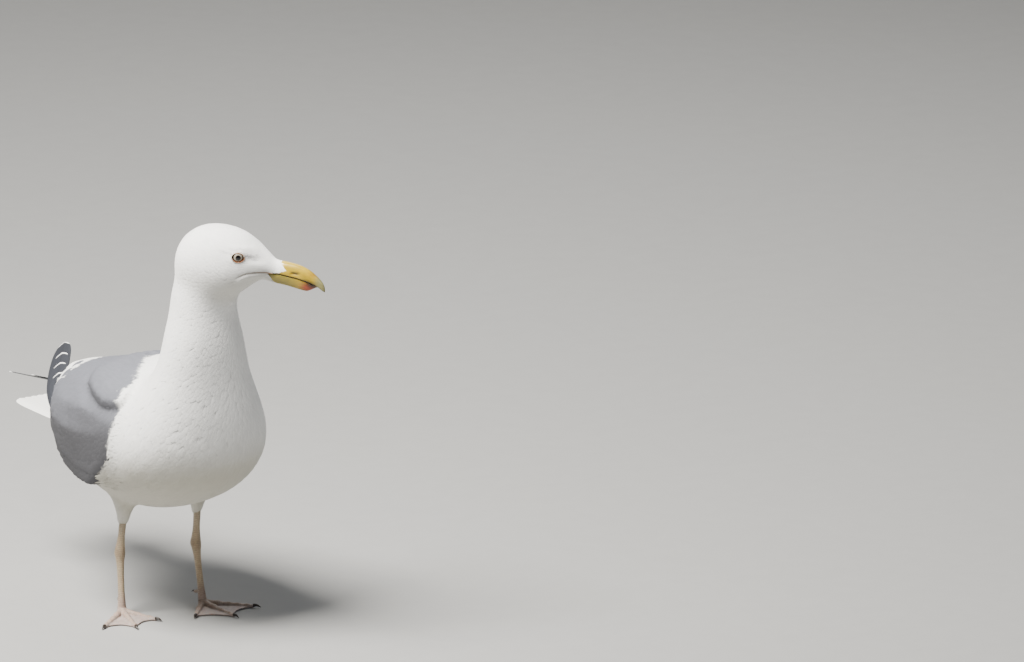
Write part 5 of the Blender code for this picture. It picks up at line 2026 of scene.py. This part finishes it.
@dataclass
class Leg:
    """The bare part of one leg: tibia, shank, webbed foot, hind toe and claws."""

    side: str
    hip: tuple
    ankle: tuple
    foot: tuple
    yaw: float
    spread: float
    bare_top: float = 0.0880
    joint_height: float = 0.0075
    toes: tuple = (  # angle from the middle toe towards the outer side, length and joints along it
        ("inner", math.radians(-42), 0.0430, (0.45, 0.80)),
        ("middle", 0.0, 0.0530, (0.36, 0.62, 0.85)),
        ("outer", math.radians(38), 0.0530, (0.30, 0.50, 0.68, 0.86)),
    )
    toe_radii: tuple = (0.0034, 0.0021)
    web_hollow: float = 0.80
    voxel: float = 0.00062
    claw_length: float = 0.0078
    claw_radius: float = 0.0018

    def matrix(self) -> Matrix:
        """From the foot's axes (along its middle toe, to its outer side, up) to the frame.

        Returns:
            The matrix.
        """
        ahead = Vector((math.sin(self.yaw), -math.cos(self.yaw), 0))
        outer = Vector((0, 0, 1)).cross(ahead) * SIDES[self.side]
        axes = Matrix([ahead, outer, Vector((0, 0, 1))]).transposed().to_4x4()
        return Matrix.Translation(Vector(self.foot) + Vector(ORIGIN)) @ axes

    def build(self, finish: bpy.types.Material, claw_finish: bpy.types.Material) -> None:
        """Makes the skin of the leg and its claws.

        Args:
            finish: its material.
            claw_finish: the claws' material.
        """
        matrix = self.matrix()
        bm = bmesh.new()
        self.add_shaft(bm)
        foot = bmesh.new()
        for _, angle, length, joints in self.toes:
            self.add_toe(foot, angle * self.spread, length, joints)
        self.add_hind_toe(foot)
        self.add_web(foot)
        bmesh.ops.create_uvsphere(
            foot, u_segments=20, v_segments=12, radius=0.0050, matrix=Matrix.Translation((0.001, 0, 0.0048))
        )
        bmesh.ops.transform(foot, matrix=matrix, verts=foot.verts)
        spare = bpy.data.meshes.new("foot")
        foot.to_mesh(spare)
        foot.free()
        bm.from_mesh(spare)
        leg = melted(f"leg_{self.side}", bm, self.voxel, 3)
        places = coordinates(leg.data)
        places[:, 2] = np.maximum(places[:, 2], 0.05 * MM)
        leg.data.vertices.foreach_set("co", places.astype(np.float32).ravel())
        leg.data.update()
        self.paint(leg, places)
        leg.data.materials.append(finish)
        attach(leg, "root")
        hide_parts(*(f"{n}_{self.side}" for n in ("tibia", "shank", "foot", "hind_toe")))
        self.build_claws(matrix, claw_finish)
        log.info("leg_%s: %d faces", self.side, len(leg.data.polygons))

    def line(self) -> tuple[np.ndarray, np.ndarray, np.ndarray, np.ndarray]:
        """Hip, top of the bare part, ankle and foot joint, in the frame.

        Returns:
            The four places.
        """
        hip, ankle, foot = (np.array(p) + ORIGIN for p in (self.hip, self.ankle, self.foot))
        top = self.bare_top + 0.010 + ORIGIN[2]
        share = (top - ankle[2]) / (hip[2] - ankle[2])
        return hip, ankle + (hip - ankle) * share, ankle, foot + (0, 0, self.joint_height)

    def add_shaft(self, bm: bmesh.types.BMesh) -> None:
        """Adds the tibia, the ankle's knob and the shank.

        Args:
            bm: where they go.
        """
        _, top, ankle, foot = self.line()
        rows = [(*(top + (ankle - top) * s), wide, deep) for s, wide, deep in (
            (0.0, 0.0034, 0.0042), (0.25, 0.0035, 0.0043), (0.55, 0.0034, 0.0041), (0.80, 0.0042, 0.0052),
        )]
        rows.append((*ankle, 0.0052, 0.0066))
        rows += [(*(ankle + (foot - ankle) * s), wide, deep) for s, wide, deep in (
            (0.08, 0.0048, 0.0060), (0.17, 0.0039, 0.0050), (0.35, 0.0032, 0.0044), (0.55, 0.0031, 0.0042),
            (0.75, 0.0032, 0.0042), (0.90, 0.0038, 0.0045), (1.05, 0.0046, 0.0046),
        )]
        swept(bm, ovals(through(rows, 46), 20))

    def add_toe(self, bm: bmesh.types.BMesh, angle: float, length: float, joints: tuple) -> None:
        """Adds a toe with a swelling at each of its joints.

        Args:
            bm: where it goes.
            angle: from the middle toe, towards the outer side.
            length: its length.
            joints: its joints, as shares of the length.
        """
        way = np.array((math.cos(angle), math.sin(angle), 0))
        share = np.linspace(0, 1, 30)
        radii = self.toe_radii[0] + (self.toe_radii[1] - self.toe_radii[0]) * share
        for joint in joints:
            radii = radii + 0.00045 * np.exp(-(((share - joint) / 0.045) ** 2))
        radii *= np.sqrt(1 - np.clip((share - 0.93) / 0.075, 0, 1) ** 2) * 0.98 + 0.02
        rise = np.maximum(radii, self.toe_radii[1] * 0.9) * 0.74 + 0.0022 * (1 - share) ** 3
        path = way * (share * length)[:, None] + np.stack([0 * share, 0 * share, rise], axis=1)
        swept(bm, around(path, radii, 14, 0.92))

    def add_hind_toe(self, bm: bmesh.types.BMesh) -> None:
        """Adds the small, raised hind toe.

        Args:
            bm: where it goes.
        """
        start = np.array((-0.0030, 0, 0.0150))
        way = unit(np.array((-1.0, 0, -0.30)))
        share = np.linspace(0, 1, 12)
        path = start + way * (share * 0.0105)[:, None]
        radii = 0.0022 - 0.0006 * share
        radii[-1] *= 0.5
        swept(bm, around(path, radii, 12))

    def add_web(self, bm: bmesh.types.BMesh) -> None:
        """Adds the webs, as a flat fan that is drawn up into a sheet with thickness.

        Args:
            bm: where they go.
        """
        order = [(angle * self.spread, length) for _, angle, length, _ in self.toes]
        outline = []
        for (angle_a, length_a), (angle_b, length_b) in zip(order, order[1:]):
            for share in np.linspace(0, 1, 13)[: 12 if angle_b != order[-1][0] else 13]:
                angle = angle_a + (angle_b - angle_a) * share
                reach = (length_a + (length_b - length_a) * share) * 0.965
                hollow = 1 - (1 - self.web_hollow) * math.sin(math.pi * share) ** 0.8
                outline.append((math.cos(angle) * reach * hollow, math.sin(angle) * reach * hollow, 0.0006))
        sheet = bmesh.ops.create_circle(bm, segments=len(outline) + 1, radius=1, cap_ends=True)["verts"]
        for vert, point in zip(sheet, [(-0.002, 0, 0.0006), *outline]):
            vert.co = Vector(point)
        made = bmesh.ops.extrude_face_region(bm, geom=list(sheet[0].link_faces))["geom"]
        for vert in made:
            if isinstance(vert, bmesh.types.BMVert):
                vert.co.z += 0.0014

    def build_claws(self, matrix: Matrix, finish: bpy.types.Material) -> None:
        """Makes the claws, each a curved horn.

        Args:
            matrix: from the foot's axes to the frame.
            finish: their material.
        """
        starts = {
            name: (np.array((math.cos(a * self.spread), math.sin(a * self.spread), 0)), length)
            for name, a, length, _ in self.toes
        }
        share = np.linspace(0, 1, 14)
        for name, (way, length) in starts.items():
            self.claw(name, matrix, way * (length - 0.0012) + (0, 0, 0.0026), way, share, finish)
        back = np.array((-1.0, 0, 0))
        self.claw("hind", matrix, np.array((-0.0030 - 0.0096, 0, 0.0122)), back, share, finish)

    def claw(self, name: str, matrix: Matrix, start: np.ndarray, way: np.ndarray, share: np.ndarray,
             finish: bpy.types.Material) -> None:
        """Makes one claw.

        Args:
            name: which toe it is on.
            matrix: from the foot's axes to the frame.
            start: where it leaves the toe.
            way: which way it points.
            share: the places along it that get a ring.
            finish: its material.
        """
        small = 0.62 if name == "hind" else 1.0
        rise = 0.0007 * np.sin(math.pi * share) - 0.0019 * share**2
        path = start + way * (share * self.claw_length * small)[:, None]
        path = path + np.stack([0 * share, 0 * share, rise], axis=1)
        radii = self.claw_radius * small * (1 - 0.90 * share**1.3)
        bm = bmesh.new()
        swept(bm, around(path, radii, 12, 1.0))
        bmesh.ops.recalc_face_normals(bm, faces=bm.faces)
        bmesh.ops.transform(bm, matrix=matrix, verts=bm.verts)
        claw = object_from(f"claw_horn_{name}_{self.side}", bm)
        claw.data.materials.append(finish)
        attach(claw, "root")
        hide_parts(f"claw_{name}_{self.side}")

    def paint(self, leg: bpy.types.Object, places: np.ndarray) -> None:
        """Writes the leg's tints and the lie of its plates.

        Args:
            leg: the leg's skin.
            places: its points, in the frame.
        """
        pink, joint, web, cream = (
            np.array(linear(c)) for c in ("#B5A286", "#8B7862", "#A09490", "#A59B88")
        )
        local = places @ np.array(self.matrix().inverted())[:3, :3].T
        local = local + np.array(self.matrix().inverted())[:3, 3]
        _, _, ankle, _ = self.line()
        made = np.tile(pink, (len(places), 1))
        up = places[:, 2]

        blend(made, cream, 0.6 * smooth(ankle[2] + 0.008, ankle[2] + 0.030, up))
        blend(made, joint, 0.45 * np.exp(-(((up - ankle[2]) / 0.006) ** 2)))
        low = smooth(0.014, 0.008, up)
        flat = low * smooth(0.0040, 0.0024, up) * smooth(0.008, 0.016, local[:, 0])
        blend(made, np.array(linear("#AB9690")), smooth(0.030, 0.010, up) * 0.7)
        blend(made, web, 0.7 * flat)
        angle = np.arctan2(local[:, 1], local[:, 0])
        reach = np.hypot(local[:, 0], local[:, 1])
        on_toe = np.zeros(len(places))
        for _, toe_angle, length, joints in self.toes:
            off = reach * np.sin(np.abs(angle - toe_angle * self.spread))
            near = np.exp(-((off / 0.0032) ** 2)) * low
            on_toe = np.maximum(on_toe, near)
            for place in joints:
                blend(made, joint, 0.30 * near * np.exp(-(((reach / length - place) / 0.03) ** 2)))
        set_attribute(leg.data, "Tint", with_alpha(made))
        front = smooth(-0.2, 0.6, -(places - ankle)[:, 1] / 0.004) * (1 - low)
        along = np.where(low > 0.5, reach, up + 0.1)
        plated = np.where(low > 0.5, on_toe * smooth(0.002, 0.0034, up), np.maximum(front, 0.25))
        set_attribute(leg.data, "Plates", np.stack([along, plated, 0 * up], axis=1))


# ---------------------------------------------------------------- flight feathers


@dataclass
class Blade:
    """One long feather, given by its own path instead of the form's surface."""

    path: np.ndarray
    across: np.ndarray  # from its shaft to its edge, one row for each of the path's
    half_width: float
    colour: np.ndarray
    tip: float = 2.0
    camber: float = 0.06
    thickness: float = 0.0005


@dataclass
class Flight:
    """The long feathers that stand free: the primaries behind the wings, and the tail."""

    coat: Coat
    seed: int = 71
    primaries: dict = field(default_factory=lambda: {
        "right": ((-0.0590, 0.1120, 0.1640), (-0.0385, 0.1820, 0.1860), (0.0172, 0.2700, 0.2070)),
        "left": ((0.0590, 0.1120, 0.1600), (0.0360, 0.1820, 0.1740), (-0.0180, 0.2860, 0.1800)),
    })
    shortened: tuple = (0.0, 0.027, 0.053, 0.079)
    tilt: tuple = (math.radians(55), math.radians(25), math.radians(20))
    step: tuple = (0.0016, 0.0011)
    width: float = 0.0230
    tail_root: tuple = (0.0, 0.1450, 0.1640)
    tail_tip: tuple = (0.0010, 0.2400, 0.1677)
    tail_widths: tuple = (0.0240, 0.0460)
    tail_camber: float = 0.0008

    def build(self) -> None:
        """Makes the pieces of the long feathers."""
        for side in SIDES:
            blades = [self.primary(side, k, short) for k, short in enumerate(self.shortened)]
            self.join(f"primaries_coat_{side}", blades, "black", "black_plumage", (f"primaries_{side}",))
        self.join("tail_coat", self.rectrices(), "white", "white_plumage", ("tail",))

    def primary(self, side: str, k: int, short: float) -> Blade:
        """Primary number k of the stack, which reaches inward and up from its outer edge.

        Args:
            side: which wing.
            k: its number, 0 for the longest and lowest.
            short: how much shorter than the longest.

        Returns:
            The blade.
        """
        sign = SIDES[side]
        fine = through(self.primaries[side], 80)
        lengths = np.insert(np.linalg.norm(np.diff(fine, axis=0), axis=1).cumsum(), 0, 0)
        stops = np.array(PRIMARY.along) * (lengths[-1] - short)
        path = np.stack([np.interp(stops, lengths, fine[:, axis]) for axis in range(3)], axis=1)
        ways = unit(np.gradient(path, axis=0))
        rows, acrosses = [], []
        for start, way, stop in zip(path, ways, stops):
            tilt = np.interp(stop, (0, lengths[-1] * 0.4, lengths[-1]), self.tilt)
            across = unit(np.cross(way, (0, 0, -sign)))
            inward = across * math.cos(tilt) + np.array((0, 0, math.sin(tilt)))
            over = unit(np.cross(way, inward))
            over = over * math.copysign(1, over[2])
            low = start + inward * self.step[0] * k + over * self.step[1] * k
            rows.append(low + inward * self.width * (1 - 0.05 * k) / 2)
            acrosses.append(inward)
        dark = np.array(linear("#2C2E34")) * (1 + 0.25 * k / 3)
        length = stops[-1]
        return Blade(
            np.array(rows) + ORIGIN, np.array(acrosses), self.width * (1 - 0.05 * k) / 2, dark,
            tip=1 - (0.0015 if k == 0 else 0.0034) / length,
        )

    def rectrices(self) -> list[Blade]:
        """The twelve feathers of the tail, the middle pair on top.

        Returns:
            The blades.
        """
        root, tip = np.array(self.tail_root), np.array(self.tail_tip)
        blades = []
        white = np.array(linear("#EDEDEA"))
        for j in range(12):
            across = (j - 5.5) / 5.5
            path = []
            for share in TAIL.along:
                middle = root + (tip - root) * share
                width = self.tail_widths[0] + (self.tail_widths[1] - self.tail_widths[0]) * share**0.8
                width -= 0.0085 * share
                back = 0.0030 * share * across**2
                droop = -self.tail_camber * across**2 * (0.4 + 0.6 * share)
                below = -0.0003 * abs(across) * 5.5 * 0.55
                path.append(middle + (across * width, back, droop + below))
            sideways = unit(np.array((1.0, 0, -0.10 * across)))
            blades.append(Blade(
                np.array(path) + ORIGIN, np.tile(sideways, (len(path), 1)), 0.0098, white, camber=0.05,
            ))
        return blades

    def join(self, name: str, blades: list[Blade], finish: str, slot: str, replaced: tuple) -> None:
        """Makes one piece of blades, each laid on the outline that its number of rows fits.

        Args:
            name: the piece's name.
            blades: the feathers.
            finish: which plumage finish it gets.
            slot: passed on to the coat, which does not use it.
            replaced: the solids it stands for.
        """
        rng = np.random.default_rng(self.seed)
        laid = []
        for blade in blades:
            shape = next(s for s in (PRIMARY, TAIL) if len(s.along) == len(blade.path))
            ways = unit(np.gradient(blade.path, axis=0))
            over = unit(np.cross(ways, blade.across))
            turned_over = np.sign(over[:, 2:3] + 1e-9)
            over = over * turned_over
            widths = np.array(shape.widths) * blade.half_width
            side = float(turned_over[len(turned_over) // 2, 0])
            reach = side * shape.across[None, :, None] * widths[:, None, None]
            drop = blade.camber * blade.half_width * shape.across[None, :, None] ** 2
            grid = blade.path[:, None] + blade.across[:, None] * reach - over[:, None] * drop
            turned = over[:, None] + blade.across[:, None] * side * shape.across[None, :, None] * 0.25
            places = grid[shape.row, shape.column]
            normals = unit(turned[shape.row, shape.column])
            places = places - over[shape.row] * (shape.under * blade.thickness)[:, None]
            count = len(shape.row)
            vane = np.stack(
                [shape.along[shape.row], shape.across[shape.column], np.full(count, rng.random())], axis=1
            )
            _, _, face = self.coat.form.nearest(blade.path[:1])
            laid.append({
                "places": places[None],
                "normals": normals[None],
                "vane": vane[None],
                "colours": np.tile(blade.colour, (1, count, 1)),
                "tips": np.full((1, count), blade.tip),
                "shape": shape,
                "uv": self.coat.skin.face_uv[face],
            })
        self.coat.joined(name, laid, finish, slot, replaced)


def rounded(count: int, root: float, sharp: float) -> tuple[tuple, tuple]:
    """Stations and widths of a long blade with a rounded end.

    Args:
        count: how many stations.
        root: its width at the root, as a share.
        sharp: how late it starts to narrow; larger is blunter.

    Returns:
        Two rows of shares, closest together at the tip.
    """
    share = np.linspace(0, 1, count)
    along = 1 - (1 - share) ** 1.8
    widths = np.sqrt(np.clip(1 - along**sharp, 0.004, 1)) * (root + (1 - root) * smooth(0, 0.25, along))
    return tuple(along.tolist()), tuple(widths.tolist())


PRIMARY = VaneShape(*rounded(26, 0.9, 9.0), 9)
TAIL = VaneShape(*rounded(22, 0.7, 14.0), 7)


@dataclass(frozen=True)
class CovertRow:
    """A row of coverts along the lower edge of a folded wing."""

    aft: tuple  # from the first tip to the last
    count: int
    above: float  # how far the tips are above the wing's lower edge
    length: float
    longer: float  # what the length grows by, over the steps
    lift: float  # how much higher the roots lie than the tips
    higher: float  # what the lift grows by, over the steps
    steps: int
    half_width: float
    rise: float  # off the form, in millimetres
    tone: float
    seed: int


@dataclass
class Rows:
    """The long feathers that lie on the folded wings, and the loose ones over their front edges."""

    coat: Coat
    seed: int = 37
    # The tips of the tertials as distance aft and height, and how much higher their roots lie.
    tertials: tuple = (
        (0.1280, 0.1690, 0.0170), (0.1400, 0.1760, 0.0170),
        (0.1510, 0.1840, 0.0160), (0.1610, 0.1920, 0.0150),
        (0.1700, 0.1990, 0.0130), (0.1780, 0.2060, 0.0110),
        (0.1840, 0.2130, 0.0100), (0.1870, 0.2190, 0.0090),
    )
    tertial_length: float = 0.066
    tertial_half_width: float = 0.0088
    covert_rows: tuple = (
        CovertRow(
            aft=(0.002, 0.090), count=11, above=0.0035, length=0.040, longer=0.012, lift=0.014,
            higher=0.004, steps=14, half_width=0.0062, rise=0.35, tone=0.97, seed=3,
        ),
        CovertRow(
            aft=(-0.006, 0.088), count=14, above=0.0165, length=0.028, longer=0.008, lift=0.010,
            higher=0.0, steps=17, half_width=0.0056, rise=0.45, tone=1.0, seed=7,
        ),
    )
    fringe_count: int = 260
    tuft_count: int = 84
    whole: float = 2.0  # a white tip that starts past the feather's end is none
    wing_aft: tuple = (-0.040, -0.018, 0.005, 0.040, 0.075, 0.105, 0.130)
    wing_bottom: tuple = (0.186, 0.158, 0.140, 0.137, 0.144, 0.159, 0.174)

    def root(self, sign: int, aft: float, up: float) -> tuple[np.ndarray, int]:
        """The form's own place at a distance aft and a height, seen from a side, and its face."""
        start = Vector((sign * 0.2, aft, up)) + Vector(ORIGIN)
        hit, _, face, _ = self.coat.form.tree.ray_cast(start, Vector((-sign, 0, 0)), 0.4)
        return np.array(hit), face

    def batch(self, sign: int, rows: list[tuple], grey: float, tone: float = 1.0,
              free: bool = False) -> Batch:
        """Feathers from rows of numbers.

        Args:
            sign: 1 on the left wing, -1 on the right.
            rows: for each feather its root aft, root up, tip aft, tip up, half width, depth, rise
                off the form and where its white tip starts.
            grey: 1 for grey feathers, 0 for white ones.
            tone: a factor on their colour.
            free: True if they reach past the form's edge at full length.

        Returns:
            The batch.
        """
        table = np.array(rows)
        found = [self.root(sign, aft, up) for aft, up in table[:, :2]]
        places = np.array([f[0] for f in found])
        faces = np.array([f[1] for f in found])
        # The colour carries the same painted shade, and soiling, as that of the feathers round it.
        normals = self.coat.form.face_normals[faces]
        shade = self.coat.markings_and_shade.colours(places - ORIGIN, np.full(len(rows), grey), normals) * tone
        ways = np.stack([0 * table[:, 0], table[:, 2] - table[:, 0], table[:, 3] - table[:, 1]], axis=1)
        return Batch(
            places, unit(ways), np.linalg.norm(ways, axis=1), table[:, 4], table[:, 5], shade, faces,
            table[:, 7], table[:, 6], free,
        )

    def bottom(self, aft: float) -> float:
        """The height of a folded wing's lower edge."""
        return float(np.interp(aft, self.wing_aft, self.wing_bottom))

    def tertial_table(self) -> list[tuple]:
        """The tertials' rows, whose white tips get longer upward.

        Returns:
            A row for each feather.
        """
        rows = []
        for k, (aft, up, rise) in enumerate(self.tertials):
            length = self.tertial_length * (1 - 0.03 * k)
            white = 1 - (0.0090 + 0.0024 * k) / length
            rows.append((aft - length, up + rise, aft, up, self.tertial_half_width, 0.0012,
                         (1.0 + 0.14 * k) * MM, white))
        return rows

    def covert_table(self, row: CovertRow) -> list[tuple]:
        """The feathers of one row of coverts.

        Args:
            row: its measures.

        Returns:
            A row for each feather.
        """
        rows = []
        for k, aft in enumerate(np.linspace(*row.aft, row.count)):
            up = self.bottom(aft) + row.above
            length = row.length + row.longer * k / row.steps
            root = up + row.lift + row.higher * k / row.steps
            rows.append((aft - length, root, aft, up, row.half_width, 0.0010,
                         (row.rise + 0.01 * k) * MM, self.whole))
        return rows

    def fringe_table(self, rng: np.random.Generator) -> list[tuple]:
        """Loose white feathers along the front edge of the grey.

        Args:
            rng: what draws their places.

        Returns:
            A row for each feather.
        """
        rows = []
        for _ in range(self.fringe_count):
            up = rng.uniform(0.148, 0.252)
            edge = float(np.interp(up, self.coat.markings_and_shade.grey_heights, self.coat.markings_and_shade.grey_edges))
            aft = edge - rng.uniform(0.012, 0.018)
            length = rng.uniform(0.009, 0.014)
            slope = rng.normal(-0.25, 0.22)
            rows.append((aft, up, aft + length, up + slope * length, rng.uniform(0.0012, 0.0019),
                         0.0006, rng.uniform(0.2, 0.6) * MM, self.whole))
        return rows

    def tuft_table(self, rng: np.random.Generator) -> list[tuple]:
        """The tuft of the flank, which lies over the wing's lower front.

        Args:
            rng: what draws their places.

        Returns:
            A row for each feather.
        """
        rows = []
        for _ in range(self.tuft_count):
            share = rng.uniform(0, 1)
            aft, up = -0.060 + 0.026 * rng.uniform(0, 1), 0.1440 + 0.018 * share
            end_aft, end_up = -0.014 + rng.normal(0, 0.006), 0.1550 + rng.normal(0, 0.0024)
            rows.append((aft, up, end_aft, end_up, rng.uniform(0.0016, 0.0026), 0.0010,
                         rng.uniform(0.2, 1.3) * MM, self.whole))
        return rows

    def build(self) -> None:
        """Makes the rows of both wings."""
        rng = np.random.default_rng(self.seed)
        for side, sign in SIDES.items():
            seed = self.seed + sign
            laid = [self.coat.lay(LARGE, self.batch(sign, self.tertial_table(), 1.0, free=True), seed)]
            for row in self.covert_rows:
                batch = self.batch(sign, self.covert_table(row), 1.0, row.tone)
                laid.append(self.coat.lay(LARGE, batch, seed + row.seed))
            self.coat.joined(f"wing_rows_{side}", laid, "grey", "grey_plumage")
            fringe = self.coat.lay(SMALL, self.batch(sign, self.fringe_table(rng), 0.0), seed + 11)
            tuft = self.coat.lay(SMALL, self.batch(sign, self.tuft_table(rng), 0.0, 0.97), seed + 13)
            self.coat.joined(f"flank_tufts_{side}", [fringe, tuft], "white", "white_plumage")


# ---------------------------------------------------------------- studio


@dataclass
class Studio:
    """The floor, the light and the camera."""

    floor_size: float = 30.0
    azimuth: float = math.radians(-30)
    elevation: float = math.radians(15.5)
    distance: float = 14.0
    across: float = 0.344  # from the bird's origin to the middle of the picture, to its right
    above: float = 0.279  # and upward
    frame_width: float = 1.024
    sensor: float = 36.0
    lamps: tuple = (  # name, to the right, towards the camera, up, size, power and colour
        ("key", -0.9, 0.75, 2.2, 1.2, 310, "#FFFBF4"),
        ("fill", 1.8, 1.2, 0.9, 1.6, 4, "#EAF1FF"),
        ("back", 0.4, -1.8, 1.6, 1.2, 20, "#FFFFFF"),
    )

    def build(self) -> None:
        """Makes the floor, the lamps, the world and the camera."""
        bm = bmesh.new()
        bmesh.ops.create_grid(bm, x_segments=1, y_segments=1, size=self.floor_size / 2)
        floor = object_from("floor", bm)
        floor.data.materials.append(FloorFinish().make())
        a, e = self.azimuth, self.elevation
        toward = Vector((math.sin(a) * math.cos(e), -math.cos(a) * math.cos(e), math.sin(e)))
        right = Vector((math.cos(a), math.sin(a), 0))
        up = toward.cross(right)
        centre = Vector(ORIGIN) + right * self.across + up * self.above
        camera = bpy.data.cameras.new("camera")
        camera.sensor_width = self.sensor
        camera.lens = self.sensor * self.distance / self.frame_width
        camera.clip_end = 60
        view = bpy.data.objects.new("camera", camera)
        view.matrix_world = Matrix.Translation(centre + toward * self.distance) @ Matrix(
            [right, up, toward]
        ).transposed().to_4x4()
        bpy.context.scene.collection.objects.link(view)
        bpy.context.scene.camera = view
        bird = Vector((0, 0.05, 0.22))
        level = Vector((toward.x, toward.y, 0)).normalized()
        lamps = [
            self.lamp(name, bird + right * aside + level * near + Vector((0, 0, high)), bird, *rest)
            for name, aside, near, high, *rest in self.lamps
        ]
        world = bpy.data.worlds.new("studio")
        world.use_nodes = True
        background = world.node_tree.nodes["Background"]
        background.inputs["Color"].default_value = (*linear("#DDE3EA"), 1)
        background.inputs["Strength"].default_value = 0.16
        bpy.context.scene.world = world

    def lamp(self, name: str, place: Vector, target: Vector, size: float, power: float,
             colour: str) -> bpy.types.Object:
        """A soft, square lamp that looks at the bird.

        Args:
            name: its name.
            place: where it is.
            target: what it looks at.
            size: its width.
            power: its power, in watts.
            colour: its colour.

        Returns:
            The lamp.
        """
        light = bpy.data.lights.new(name, "AREA")
        light.size = size
        light.energy = power
        light.color = linear(colour)
        lamp = bpy.data.objects.new(name, light)
        lamp.matrix_world = Matrix.Translation(place) @ (target - place).to_track_quat(
            "-Z", "Y"
        ).to_matrix().to_4x4()
        bpy.context.scene.collection.objects.link(lamp)
        return lamp


def sunk_under(form: Form, eyes: list[Eye], contours: Contours) -> np.ndarray:
    """How much deeper the skin lies inside the bill and behind the eyes.

    Args:
        form: the outer form.
        eyes: both eyes.
        contours: which knows where the bill starts.

    Returns:
        A depth for each of the form's points.
    """
    inside = smooth(0.0010, -0.0035, contours.feathered(form.points))
    made = 3.0 * MM * inside
    for eye in eyes:
        away = eye.apart(form.points)
        made = np.maximum(made, 3.0 * MM * smooth(0.0062, 0.0042, away))
    return np.minimum(made, form.thickness() * 0.40)


def main(frame: dict) -> None:
    """Builds every piece of the bird and its studio.
    """
    for shape in (SMALL, LARGE, PRIMARY, TAIL):
        shape.build()
    form = Form(frame["nodes"])
    form.build()
    lie = Lie(form)
    lie.build()
    log.info("lie of the coat found")
    eyes = [
        Eye("left", (0.03880, -0.15466, 0.39948), form),
        Eye("right", (0.01099, -0.18247, 0.39948), form),
    ]
    markings_and_shade = MarkingsAndShade()
    skin = Skin(form, markings_and_shade)
    finishes = {
        "white": FeatherFinish("white_feathers", 0.75, 0.25, 0.35, 0.05, 0.02).make(),
        "grey": FeatherFinish("grey_feathers", 0.78, 0.0, 0.35, 0.10, 0.05).make(),
        "black": FeatherFinish("black_feathers", 0.52, 0.04, 0.45, 0.25, 0.05, mottle=0.25).make(),
    }
    coat = Coat(form, lie, skin, markings_and_shade, finishes)
    contours = Contours(coat, eyes)
    skin.build(sunk_under(form, eyes, contours))
    contours.build()
    Rows(coat).build()
    Flight(coat).build()
    lid_finish = BareSkinFinish("bare_orbital_skin", 0.42, 0.35, 0.25, 0.15).make()
    eye_finish = EyeFinish().make()
    for eye in eyes:
        eye.build(lid_finish, eye_finish)
    edge = (contours.bill_heights, contours.bill_edges)
    Bill(form, feather_edge=edge).build(HornFinish().make(), lid_finish)
    leg_finish = BareSkinFinish("leathery_leg_skin", 0.50, 1.1, 0.30, 0.20, plates=1.9).make()
    claw_finish = ClawFinish().make()
    Leg("right", (-0.0350, 0.0210, 0.1280), (-0.0380, 0.0300, 0.0585), (-0.0380, 0.0265, -0.0055),
        math.radians(-13), 0.92).build(leg_finish, claw_finish)
    Leg("left", (0.0430, 0.0130, 0.1280), (0.0440, 0.0220, 0.0585), (0.0460, 0.0125, -0.0055),
        math.radians(9), 1.12).build(leg_finish, claw_finish)
    Studio().build()


if __name__ == "__main__":
    logging.basicConfig(level=logging.INFO, format="%(name)s %(relativeCreated)d ms: %(message)s")
    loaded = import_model()
    main(loaded)
